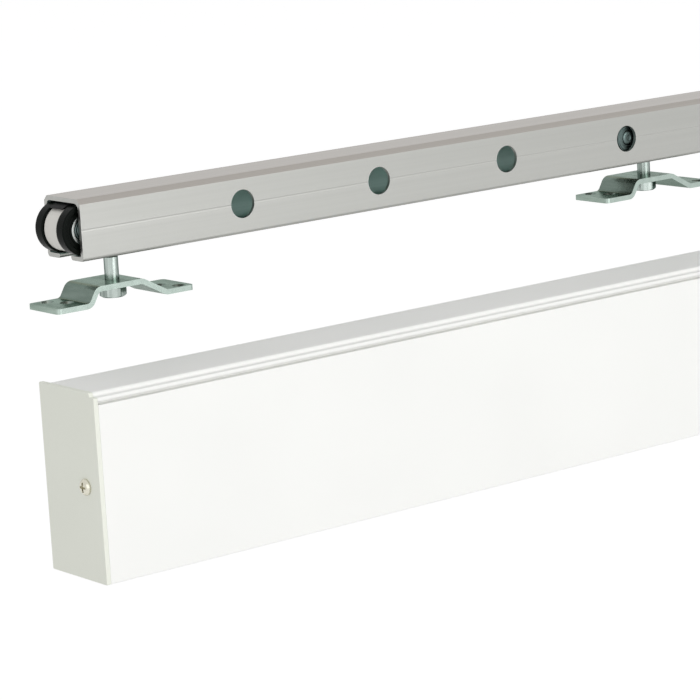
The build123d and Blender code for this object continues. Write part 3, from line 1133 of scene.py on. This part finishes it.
@dataclass
class Hanger(Assembly):
    """A four-wheel hanger with its swivel nut, height bolt and bent bracket."""

    number: int
    bolt_x: float
    bridge_top: float
    # Whether the wheels' sides are painted slate as well: painted shade, the shaded look of the channel
    # behind the front holes.
    slate_faces: bool = False
    wheel_base: float = 49.0
    wheel_radius: float = 14.0
    wheel_width: float = 7.1
    wheel_inner: float = 6.8
    wheel_bore: float = 2.55
    wheel_hub: float = 8.0
    wheel_rim: float = 11.0
    wheel_relief: float = 0.35
    wheel_recess: float = 1.0
    axle_z: float = -0.35
    axle_radius: float = 2.5
    axle_drill: float = 20.0
    axle_head: Point2 = (4.3, 0.9)
    axle_dimple: Point2 = (1.8, 0.35)
    axle_seat: float = 1.2
    bearing_seat: Point2 = (8.1, 2.0)
    shield_radius: float = 6.5
    body_half: float = 6.5
    body_nose: float = 12.9
    body_top: float = 11.3
    boss_radius: float = 11.0
    boss_bottom: float = -13.2
    guide_nose: float = 14.5
    peg: Point2 = (1.5, 3.98)
    peg_x: float = 15.0
    nut_seat: float = 2.5
    nut_barrel: Point2 = (6.5, 12.0)
    nut_flange: Point2 = (8.0, 3.0)
    nut_chamfer: float = 0.4
    bolt_radius: float = 4.0
    bolt_length: float = 40.0
    head_across: float = 13.0
    head_height: float = 5.3
    head_dish: Point2 = (4.1, 0.25)
    thread_turns: float = 17.0
    thread_pitch: float = 1.25
    thread_depth: float = 0.62
    washer_radius: float = 8.0
    washer: float = 1.6
    strip: float = 3.0
    strip_width: float = 30.0
    strip_hole: float = 4.1
    strip_corner: float = 2.5
    strip_plan: Point2 = (-70.0, 0.0)
    strip_drill: Point2 = (-50.0, -20.0)
    rise: float = 8.5
    stations: tuple[float, ...] = (-46.0, -24.5, -19.5, 10.0, 25.5, 44.0)
    bend_radius: float = 3.0
    foot_holes: tuple[Point2, ...] = ((-37.0, 10.0), (-31.0, -1.0), (31.0, 1.0), (37.0, -10.0))
    foot_hole: float = 2.2
    foot_sink: Point2 = (4.0, 1.8)

    def name(self, piece: str) -> str:
        """The name of one of this hanger's nodes."""
        return f"hanger_{self.number}_{piece}"

    def spot(self, x: float = 0.0, y: float = 0.0, z: float = 0.0) -> Point3:
        """A place given from the bolt and the middle of the track, in the track's own frame."""
        return (self.bolt_x + x, MID_Y + y, z)

    def axle_x(self, end: End) -> float:
        """The place of an axle from the bolt."""
        return end.value * self.wheel_base / 2

    def shift(self, piece: Piece, name: str) -> None:
        """Moves the mesh of a piece that was made about the bolt to its place, and names it."""
        piece.data.transform(Matrix.Translation(Vector(self.spot()) * MM))
        piece.name = self.name(name)

    def noses(self, radius: float, low: float, high: float, steps: int) -> list[Point2]:
        """Two round noses about the axles, as (x, z) from the bolt.

        Args:
            radius: Their radius.
            low: The angle at which the right one starts, in degrees.
            high: The angle at which it ends.
            steps: The number of edges in each.

        Returns:
            The outline, right nose first.
        """
        right = arc((self.axle_x(End.FAR), self.axle_z), radius, low, high, steps)
        return right + arc((self.axle_x(End.NEAR), self.axle_z), radius, 180 - high, 180 - low, steps)

    def top_angle(self, radius: float) -> float:
        """The angle at which a nose of that radius meets the body's flat top, in degrees."""
        return math.degrees(math.asin((self.body_top - self.axle_z) / radius))

    def build_body(self) -> None:
        """Builds the moulded body: a bar with round noses, a boss and the bores of nut and axles."""
        outline = self.noses(self.body_nose, -90, self.top_angle(self.body_nose), 24)
        body = soften(prism("carriage", outline, -self.body_half, self.body_half, Turn.Y), 0.7, 3)
        low, high = self.boss_bottom, self.body_top
        boss = turned("boss", rounded([
            (0, low, 0), (self.boss_radius, low, 0.8), (self.boss_radius, high, 0.4), (0, high, 0),
        ], 4), ORIGIN, Turn.Z)
        combine(body, boss, Cut.ADD)
        low, seat, high = low - PAST, self.nut_seat, high + PAST
        barrel, flange = self.nut_barrel[0] + CLEARANCE, self.nut_flange[0] + CLEARANCE
        bore = turned("bore", [
            (0, low), (barrel, low), (barrel, seat), (flange, seat), (flange, high), (0, high),
        ], ORIGIN, Turn.Z)
        combine(body, bore, Cut.REMOVE)
        reach = self.axle_drill
        for end in End:
            axle = (self.axle_x(end), 0, self.axle_z)
            combine(body, cylinder(self.axle_radius, -reach, reach, axle, Turn.Y, 40), Cut.REMOVE)
        self.shift(soften(body, 0), "carriage")
        self.works.dress(body, BODY_WHITE, f"hanger_{self.number}", "body_white", self.name("body"))

    def build_guide(self) -> None:
        """Builds the black strip on top of the body, with its two pegs."""
        outline = self.noses(self.guide_nose, self.top_angle(self.guide_nose), 90, 10)
        guide = soften(prism("guide", outline, -self.body_half, self.body_half, Turn.Y), 0.5, 3)
        radius, high, low = self.peg[0], self.body_top + OVERLAP, self.body_top - self.peg[1]
        pin = rounded([(0, high, 0), (radius, high, 0), (radius, low, 0.3), (0, low, 0)], 3)
        for end in End:
            combine(guide, turned("peg", pin, (end.value * self.peg_x, 0, 0), Turn.Z, 24), Cut.ADD)
        self.shift(soften(guide, 0), "guide")
        self.works.dress(guide, GUIDE_BLACK, f"hanger_{self.number}", "black_plastic", self.name("top_guide"))

    def build_axle(self, end: End) -> None:
        """Builds an axle pin, riveted over at both of its ends.

        Args:
            end: The end of the carriage it is at.
        """
        (head, rise), (dimple, depth) = self.axle_head, self.axle_dimple
        seat = self.wheel_inner + self.wheel_width - self.axle_seat
        tip = seat + rise
        half = [
            (dimple - 0.5, tip - depth, 0.1), (dimple, tip, 0.2), (head - 1.0, tip, 0.5),
            (head, tip - rise / 2, 0.25), (head, seat, 0.1), (self.axle_radius, seat, 0),
        ]
        low = [(r, -h, c) for r, h, c in half]
        profile = rounded([(0, depth - tip, 0), *low, *reversed(half), (0, tip - depth, 0)], 3)
        node = self.name(f"axle_{end.label}")
        axle = turned(f"{node}_pin", profile, self.spot(self.axle_x(end), 0, self.axle_z), Turn.Y, 48)
        self.works.dress(soften(axle, 0), AXLE_SLATE_AND_PAINTED_SHADE, f"hanger_{self.number}", "axle_steel", node)

    def build_wheel(self, end: End, side: Side) -> None:
        """Builds a turned wheel with a rim, a recess and a hub, and the bearing in it.

        Args:
            end: The end of the carriage it is at.
            side: The side it is on.
        """
        face, radius, bore = self.wheel_width, self.wheel_radius, self.wheel_bore
        hub, rim, relief = self.wheel_hub, self.wheel_rim, self.wheel_relief
        near_face, recess = face - relief, face - self.wheel_recess
        seat, sunk = self.bearing_seat[0], face - self.bearing_seat[1]
        tyre = facing(side, rounded([
            (bore, 0, 0.2), (hub, 0, 0.2), (hub + 0.3, relief, 0.2), (rim, relief, 0.2), (rim + 0.3, 0, 0.2),
            (radius, 0, 0.8), (radius, face, 0.8), (rim + 0.4, face, 0.35), (rim, recess, 0.35),
            (9.3, recess, 0.3), (8.9, near_face, 0.15), (seat, near_face, 0.1), (seat, sunk, 0.1),
            (bore, sunk, 0.1),
        ], 4))
        ring = facing(side, rounded([
            (4.8, sunk, 0), (4.8, face - 0.7, 0.15), (5.2, face - 0.7, 0.1), (5.4, face - 0.95, 0.1),
            (6.1, face - 0.95, 0.1), (6.4, face - 0.7, 0.1), (6.6, face - 0.25, 0.15),
            (seat - CLEARANCE, face - 0.25, 0.3), (seat - CLEARANCE, sunk, 0),
        ], 3))
        node = self.name(f"wheel_{end.label}_{side.label}")
        place = self.spot(self.axle_x(end), side.value * self.wheel_inner, self.axle_z)
        wheel = soften(turned(f"{node}_tyre", tyre, place, Turn.Y, 72), 0)
        self.works.dress(wheel, WHEEL_BLACK, node, "wheel_black", node)
        bearing = soften(turned(f"{node}_bearing", ring, place, Turn.Y, 56), 0)
        self.works.dress(bearing, TURNED_STEEL, node, "axle_steel")
        reach = radius if self.slate_faces else self.shield_radius

        def is_slate(centre: Vector, normal: Vector) -> bool:
            """Whether a face lies within the reach of the slate."""
            return math.hypot(centre.x - place[0], centre.z - place[2]) < reach

        def is_side(centre: Vector, normal: Vector) -> bool:
            """Whether a face of the wheel is on its side and not on its tread."""
            return is_slate(centre, normal) and abs(normal.y) > 0.5

        # The bearing's shield, within the shield radius, takes the slate: partly its own dark colour, partly
        # painted shade.
        self.works.paint_where(bearing, AXLE_SLATE_AND_PAINTED_SHADE, is_slate)
        # With that flag, the wheels' sides take the slate colour: painted shade.
        if self.slate_faces:
            self.works.paint_where(wheel, AXLE_SLATE_AND_PAINTED_SHADE, is_side)

    def build_nut(self) -> None:
        """Builds the flanged nut that turns in the boss."""
        seat, bevel = self.nut_seat + CLEARANCE, self.nut_chamfer
        (barrel, drop), (flange, rise) = self.nut_barrel, self.nut_flange
        low, high = seat - drop, seat + rise
        bore = self.bolt_radius + CLEARANCE
        profile = rounded([
            (bore + bevel, low, 0), (barrel, low, 0.4), (barrel, seat, 0), (flange, seat, 0.2),
            (flange, high, 0.5), (bore + bevel, high, 0), (bore, high - bevel, 0), (bore, low + bevel, 0),
        ], 4)
        nut = soften(turned(self.name("nut"), profile, self.spot(), Turn.Z), 0)
        self.works.dress(nut, TURNED_STEEL, self.name("swivel"), "bolt_steel", self.name("swivel_nut"))

    def build_bolt(self) -> None:
        """Builds the hanging bolt: hexagon head below, a plain shank, and a thread in the upper half."""
        seat = self.bridge_top - self.strip - self.washer - CLEARANCE
        low, tip = seat - self.head_height, seat + self.bolt_length
        r, root = self.bolt_radius, self.bolt_radius - self.thread_depth
        thread_start = tip - self.thread_pitch * (self.thread_turns + 0.9)
        shank = turned("shank", rounded([
            (0, seat - OVERLAP, 0), (r, seat - OVERLAP, 0), (r, thread_start - 0.8, 0.2),
            (root, thread_start, 0.1), (root, tip - 0.3, 0.1), (root - 0.5, tip, 0.1), (0, tip, 0),
        ], 3), self.spot(), Turn.Z, 56)
        soften(shank, 0)
        head = hexagon("head", self.head_across, low, seat, self.spot()[:2])
        flat = self.head_across / 2
        wide = flat + 2.0
        turning = turned("turning", [
            (0, low), (flat - 0.5, low), (wide, low + 1.45), (wide, seat - 0.35), (flat - 0.1, seat),
            (0, seat),
        ], self.spot(), Turn.Z)
        combine(head, turning, Cut.KEEP)
        radius, floor = self.head_dish[0], low + self.head_dish[1]
        dish = turned("dish", rounded([
            (0, low - OVERLAP, 0), (radius + 0.3, low - OVERLAP, 0), (radius, floor, 0.2), (0, floor, 0),
        ], 3), self.spot(), Turn.Z)
        combine(head, dish, Cut.REMOVE)
        soften(head, 0.22, 3, 20)
        ridge = self.works.thread.run(new_object("ridge", bmesh.new()), self.works.material(BOLT_ZINC), {
            "Start": Vector(self.spot(z=thread_start)) * MM,
            "Radius": root * MM,
            "Pitch": self.thread_pitch * MM,
            "Turns": self.thread_turns,
            "Ridge": (r - root) * MM,
        })
        bolt = soften(join(self.name("height_bolt"), [shank, head, ridge]), 0)
        self.works.dress(bolt, BOLT_ZINC, self.name("bolt"), "bolt_steel", self.name("bolt"))

    def build_washer(self) -> None:
        """Builds the washer under the bracket's bridge."""
        high, bore, radius = self.bridge_top - self.strip, self.strip_hole, self.washer_radius
        low = high - self.washer
        profile = rounded([(bore, low, 0.1), (radius, low, 0.35), (radius, high, 0.1), (bore, high, 0.1)], 4)
        washer = soften(turned(self.name("plain_washer"), profile, self.spot(), Turn.Z), 0)
        self.works.dress(washer, ZINC, self.name("bracket"), "zinc", self.name("washer"))

    def centre_line(self) -> list[Vector]:
        """The middle line of the bent strip.

        Returns:
            Its points as (x, z) from the bolt, from the near foot to the far one.
        """
        high = self.bridge_top - self.strip / 2
        low = high - self.rise
        corners = list(zip(self.stations, (low, low, high, high, low, low)))
        radius = self.bend_radius + self.strip / 2
        line = [corners[0]]
        for before, here, after in zip(corners, corners[1:], corners[2:]):
            line += rounded([(*before, 0), (*here, radius), (*after, 0)], 10)[1:-1]
        return [Vector(p) for p in line + [corners[-1]]]

    def build_bracket(self) -> None:
        """Builds the bent strip with its rounded corners, bolt hole and four countersunk holes."""
        line = self.centre_line()
        upper: list[Point2] = []
        lower: list[Point2] = []
        for i, here in enumerate(line):
            ahead = line[min(i + 1, len(line) - 1)] - line[max(i - 1, 0)]
            side = Vector((-ahead.y, ahead.x)).normalized() * (self.strip / 2)
            upper.append(tuple(here + side))
            lower.append(tuple(here - side))
        half = self.strip_width / 2
        bracket = prism("bracket", upper + lower[::-1], -half, half, Turn.Y)
        plan = rectangle((self.stations[0], -half), (self.stations[-1], half), self.strip_corner, 6)
        combine(bracket, prism("plan", plan, *self.strip_plan, Turn.Z), Cut.KEEP)
        combine(bracket, cylinder(self.strip_hole, *self.strip_drill, ORIGIN, Turn.Z), Cut.REMOVE)
        top, hole, (sink, depth) = self.bridge_top - self.rise, self.foot_hole, self.foot_sink
        low, high = top - PAST, top + PAST
        drill = [(0, low), (hole, low), (hole, top - depth), (sink, top), (sink, high), (0, high)]
        for x, y in self.foot_holes:
            combine(bracket, turned("drill", drill, (x, y, 0), Turn.Z, 48), Cut.REMOVE)
        self.shift(soften(bracket, 0.3, 3, 35), "bent_strip")
        self.works.dress(bracket, ZINC, self.name("bracket"), "zinc", self.name("bracket"))

    def build(self) -> None:
        """Builds and dresses the whole hanger."""
        self.build_body()
        self.build_guide()
        for end in End:
            self.build_axle(end)
            for side in Side:
                self.build_wheel(end, side)
        self.build_nut()
        self.build_bolt()
        self.build_washer()
        self.build_bracket()


@dataclass
class Cover(Assembly):
    """The pelmet cover: its profile, its two end caps and their screws."""

    near_x: float = -532.0
    front: float = -84.0
    top: float = -77.5
    height: float = 104.0
    depth: float = 52.5
    wall: float = 1.8
    flange_short: float = 7.5
    flange_lip: float = 4.0
    nose_back: float = 7.0
    slope: Point2 = (2.8, 2.4)
    bead: float = 2.0
    groove: Point2 = (2.1, 4.4)
    return_depth: float = 12.0
    return_up: float = 4.0
    port: Point2 = (-71.0, -129.5)
    port_outer: float = 4.2
    port_inner: float = 2.02
    port_web: float = 1.8
    port_mouth: float = 2.0
    cap: float = 2.8
    tab: Point2 = (9.0, 1.6)
    tab_gap: float = 0.1
    tab_inset: float = 3.0
    screw_hole: float = 2.05
    screw_head: Point2 = (4.5, 2.6)
    cross: Point2 = (5.4, 1.3)
    cross_depth: float = 1.7

    @property
    def bottom(self) -> float:
        """The height of the lower edge."""
        return self.top - self.height

    @property
    def ledge(self) -> float:
        """The height of the ledge in front of the nose's step."""
        return self.top - self.slope[1]

    @property
    def groove_low(self) -> float:
        """The height of the shadow groove's lower edge."""
        return self.ledge - self.bead - self.groove[0]

    @property
    def inner_step(self) -> float:
        """How far the inside of the nose's step lies behind its outside."""
        return self.wall * (math.hypot(*self.slope) - self.slope[0]) / self.slope[1]

    def nose(self) -> list[Corner]:
        """The stepped nose, from the top down to its ledge and its bead."""
        step = self.front + self.nose_back - self.slope[0]
        return [(step, self.top, 1.3), (step, self.ledge, 1.0), (self.front, self.ledge, 0.8)]

    def port_outline(self) -> list[Corner]:
        """The screw port on its web.

        Returns:
            Its corners as (y, z, radius), entered from below and left above.
        """
        y, z = self.port
        root = self.front + self.wall
        web = math.degrees(math.asin(self.port_web / 2 / self.port_outer))
        lip = math.degrees(math.asin(self.port_mouth / 2 / self.port_outer))
        bore = math.degrees(math.asin(self.port_mouth / 2 / self.port_inner))
        points = [(root, z - self.port_web / 2)]
        points += arc(self.port, self.port_outer, 180 + web, 360 - lip, 14)
        points += arc(self.port, self.port_inner, 360 - bore, bore, 18)
        points += arc(self.port, self.port_outer, lip, 180 - web, 14)
        return [(y, z, 0.0) for y, z in points + [(root, z + self.port_web / 2)]]

    def section(self) -> list[Point2]:
        """The profile's section.

        Returns:
            One outline as (y, z), down the outside and up the inside.
        """
        wall, front, top, bottom = self.wall, self.front, self.top, self.bottom
        flange = front + self.depth - self.flange_short
        back, upturn = front + self.return_depth, bottom + self.return_up
        groove_high, groove_low, groove_end = self.ledge - self.bead, self.groove_low, front + self.groove[1]
        step = front + self.nose_back + self.inner_step
        return rounded([
            (flange, top, 0.4),
            *self.nose(),
            (front, groove_high, 0.3),
            (groove_end, groove_high, 0.15),
            (groove_end, groove_low, 0.15),
            (front, groove_low, 0.3),
            (front, bottom, 0.8),
            (back, bottom, 0.4),
            (back, upturn, 0.4),
            (back - wall, upturn, 0.4),
            (back - wall, bottom + wall, 0.3),
            (front + wall, bottom + wall, 0.3),
            *self.port_outline(),
            (front + wall, groove_low - wall, 0.3),
            (groove_end + wall, groove_low - wall, 0.3),
            (groove_end + wall, self.ledge - wall, 0.3),
            (step - self.slope[0], self.ledge - wall, 0.2),
            (step, top - wall, 0.2),
            (flange - wall, top - wall, 0.3),
            (flange - wall, top - self.flange_lip, 0.3),
            (flange, top - self.flange_lip, 0.3),
        ], 4)

    def build_profile(self) -> None:
        """Builds the extruded profile."""
        start = self.near_x + self.cap
        profile = soften(self.works.extrude("cover_front", self.section(), start, -2 * start), 0.12, 2, 50)
        self.works.dress(profile, COVER_WHITE, "cover", "cover_white", "cover_profile")

    def tabs(self) -> list[tuple[Point2, Point2]]:
        """The tabs of a cap: under the flange, above the port and below it.

        Returns:
            The lowest and the highest corner of each, as (y, z).
        """
        inset, thick = self.tab_inset, self.tab[1]
        front, roof = self.front + self.wall + self.tab_gap, self.top - self.wall - self.tab_gap
        clear, port = self.port_outer + inset, self.port[1]
        near = self.front + self.nose_back + self.inner_step + inset
        far = self.front + self.depth - self.flange_short - self.wall - inset
        return [
            ((near, roof - thick), (far, roof)),
            ((front, port + clear), (front + thick, self.groove_low - self.wall - inset)),
            ((front, self.bottom + self.wall + inset), (front + thick, port - clear)),
        ]

    def build_cap(self, end: End) -> None:
        """Builds an end cap: a plate of the whole section with three tabs that enter the profile.

        Args:
            end: The end it closes.
        """
        back = self.front + self.depth
        outline = rounded([
            (back, self.top, 0.8), *self.nose(), (self.front, self.bottom, 0.8), (back, self.bottom, 0.8),
        ], 4)
        outer, inner = end.value * -self.near_x, end.value * (-self.near_x - self.cap)
        cap = soften(prism("cap", outline, outer, inner, Turn.X), 0.35, 3, 40)
        root, tip = outer - end.value * OVERLAP, inner - end.value * self.tab[0]
        for low, high in self.tabs():
            combine(cap, prism("tab", rectangle(low, high, 0.3, 3), root, tip, Turn.X), Cut.ADD)
        combine(cap, cylinder(self.screw_hole, -PAST, PAST, (outer, *self.port), Turn.X, 32), Cut.REMOVE)
        soften(cap, 0)
        cap.name = f"end_cap_{end.label}"
        self.works.dress(cap, CAP_GREY, "cover", "cap_grey", f"cover_cap_{end.label}")

    def build_screw(self, end: End) -> None:
        """Builds a cap's screw, with a pan head and a cross recess.

        Args:
            end: The end of its cap.
        """
        radius, rise = self.screw_head
        profile = facing(end, rounded([
            (0, -16.0, 0), (0.6, -16.0, 0.1), (1.7, -14.0, 0.3), (2.0, -13.4, 0.1), (2.0, 0, 0),
            (radius, 0, 0.15), (radius, rise * 0.38, 0.4), (radius * 0.78, rise * 0.86, 1.6),
            (radius * 0.3, rise, 1.5), (0, rise, 0),
        ], 5))
        face = end.value * -self.near_x
        y, z = self.port
        screw = turned("screw", profile, (face, y, z), Turn.X, 56)
        high, floor = face + end.value * (rise + OVERLAP), face + end.value * (rise - self.cross_depth)
        for wide, tall in (self.cross, self.cross[::-1]):
            slot = rectangle((y - wide / 2, z - tall / 2), (y + wide / 2, z + tall / 2))
            combine(screw, prism("recess", slot, floor, high, Turn.X), Cut.REMOVE)
        soften(screw, 0.12, 2, 40)
        screw.name = f"cap_screw_{end.label}"
        self.works.dress(screw, SCREW_NICKEL, "cover", "cap_screw_steel", f"cover_cap_screw_{end.label}")

    def build(self) -> None:
        """Builds and dresses the whole cover."""
        self.build_profile()
        for end in End:
            self.build_cap(end)
            self.build_screw(end)


def in_sight(tree: NodeWriter) -> Socket:
    """Where the camera, a reflection or a clear material looks.

    Args:
        tree: The tree of the world or of a backdrop's material.

    Returns:
        A value of 1 there and 0 for other light.
    """
    path = tree.add("ShaderNodeLightPath").outputs
    seen = path["Is Camera Ray"]
    for label in ("Is Glossy Ray", "Is Transmission Ray"):
        seen = tree.add("ShaderNodeMath", {0: seen, 1: path[label]}, operation="MAXIMUM").outputs[0]
    return seen


@dataclass
class Studio:
    """The floor, the lamps, the world and the camera."""

    azimuth: float = -37.77
    elevation: float = 11.25
    roll: float = 3.3
    target: Point3 = (-306.96, -15.0, -100.07)
    distance: float = 1800.0
    lens: float = 157.95
    lit: Point3 = (-0.2, -0.05, -0.08)
    floor_z: float = -0.42
    floor_grey: float = 0.86
    floor_glow: float = 0.45
    surround: float = 0.62

    def camera(self) -> None:
        """Sets up the camera at the photograph's viewing angle."""
        a, e, r = (math.radians(v) for v in (self.azimuth, self.elevation, self.roll))
        away = Vector((math.sin(a) * math.cos(e), -math.cos(a) * math.cos(e), math.sin(e)))
        right = (-away).cross(Vector((0, 0, 1))).normalized()
        up = right.cross(-away)
        across = right * math.cos(r) - up * math.sin(r)
        upright = right * math.sin(r) + up * math.cos(r)
        turn = Matrix((across, upright, away)).transposed().to_4x4()
        data = bpy.data.cameras.new("camera")
        data.lens = self.lens
        data.sensor_width = 36.0
        data.clip_end = 50.0
        camera = bpy.data.objects.new("camera", data)
        camera.matrix_world = Matrix.Translation((Vector(self.target) + away * self.distance) * MM) @ turn
        bpy.context.scene.collection.objects.link(camera)
        bpy.context.scene.camera = camera

    def lamp(self, name: str, place: Point3, size: float, power: float) -> None:
        """A soft square lamp that points at the middle of the object.

        Args:
            name: Its name.
            place: Where it stands, in metres.
            size: The length of its side, in metres.
            power: Its power, in watts.
        """
        data = bpy.data.lights.new(name, "AREA")
        data.size = size
        data.energy = power
        lamp = bpy.data.objects.new(name, data)
        lamp.location = place
        lamp.rotation_euler = (Vector(self.lit) - Vector(place)).to_track_quat("-Z", "Y").to_euler()
        bpy.context.scene.collection.objects.link(lamp)

    def world(self) -> None:
        """White where the camera, a reflection or a clear material sees it, and softer as light."""
        world = bpy.data.worlds.new("surround")
        world.use_nodes = True
        bpy.context.scene.world = world
        tree = NodeWriter(world.node_tree)
        world.node_tree.nodes.clear()
        light = tree.add("ShaderNodeBackground", {"Color": WHITE, "Strength": self.surround})
        white = tree.add("ShaderNodeBackground", {"Color": WHITE, "Strength": 1.0})
        pick = tree.add("ShaderNodeMixShader", {0: in_sight(tree), 1: light.outputs[0], 2: white.outputs[0]})
        tree.add("ShaderNodeOutputWorld", {0: pick.outputs[0]})

    def floor(self) -> None:
        """A plain pale floor, which shows white to the camera except where the object shades it."""
        shape = bmesh.new()
        bmesh.ops.create_grid(shape, x_segments=1, y_segments=1, size=6.0)
        floor = new_object("floor", shape)
        floor.location.z = self.floor_z
        paint = Paint("pale_floor")
        glow = paint.add("ShaderNodeMath", {0: in_sight(paint), 1: self.floor_glow}, operation="MULTIPLY")
        paint.feed({
            "Base Color": (self.floor_grey,) * 3,
            "Roughness": 0.9,
            "Specular IOR Level": 0.1,
            "Emission Color": WHITE,
            "Emission Strength": glow.outputs[0],
        })
        floor.data.materials.append(paint.material)

    def build(self) -> None:
        """Sets up the whole studio."""
        self.camera()
        self.world()
        self.floor()
        self.lamp("key", (0.1, -3.4, 0.4), 2.4, 46.0)
        self.lamp("fill", (-2.6, -1.4, 0.4), 2.0, 9.0)
        bpy.context.scene.view_settings.view_transform = "Standard"


def main() -> None:
    """Builds the studio and every sub-assembly in order."""
    Studio().build()
    works = Workshop()
    TrackRail(works).build()
    TrackStop(works).build()
    Hanger(works, 1, -471.0, -32.0).build()
    # Hanger 2's wheel sides carry the painted shade.
    Hanger(works, 2, -68.0, -27.0, slate_faces=True).build()
    Cover(works).build()


if __name__ == "__main__":
    main()
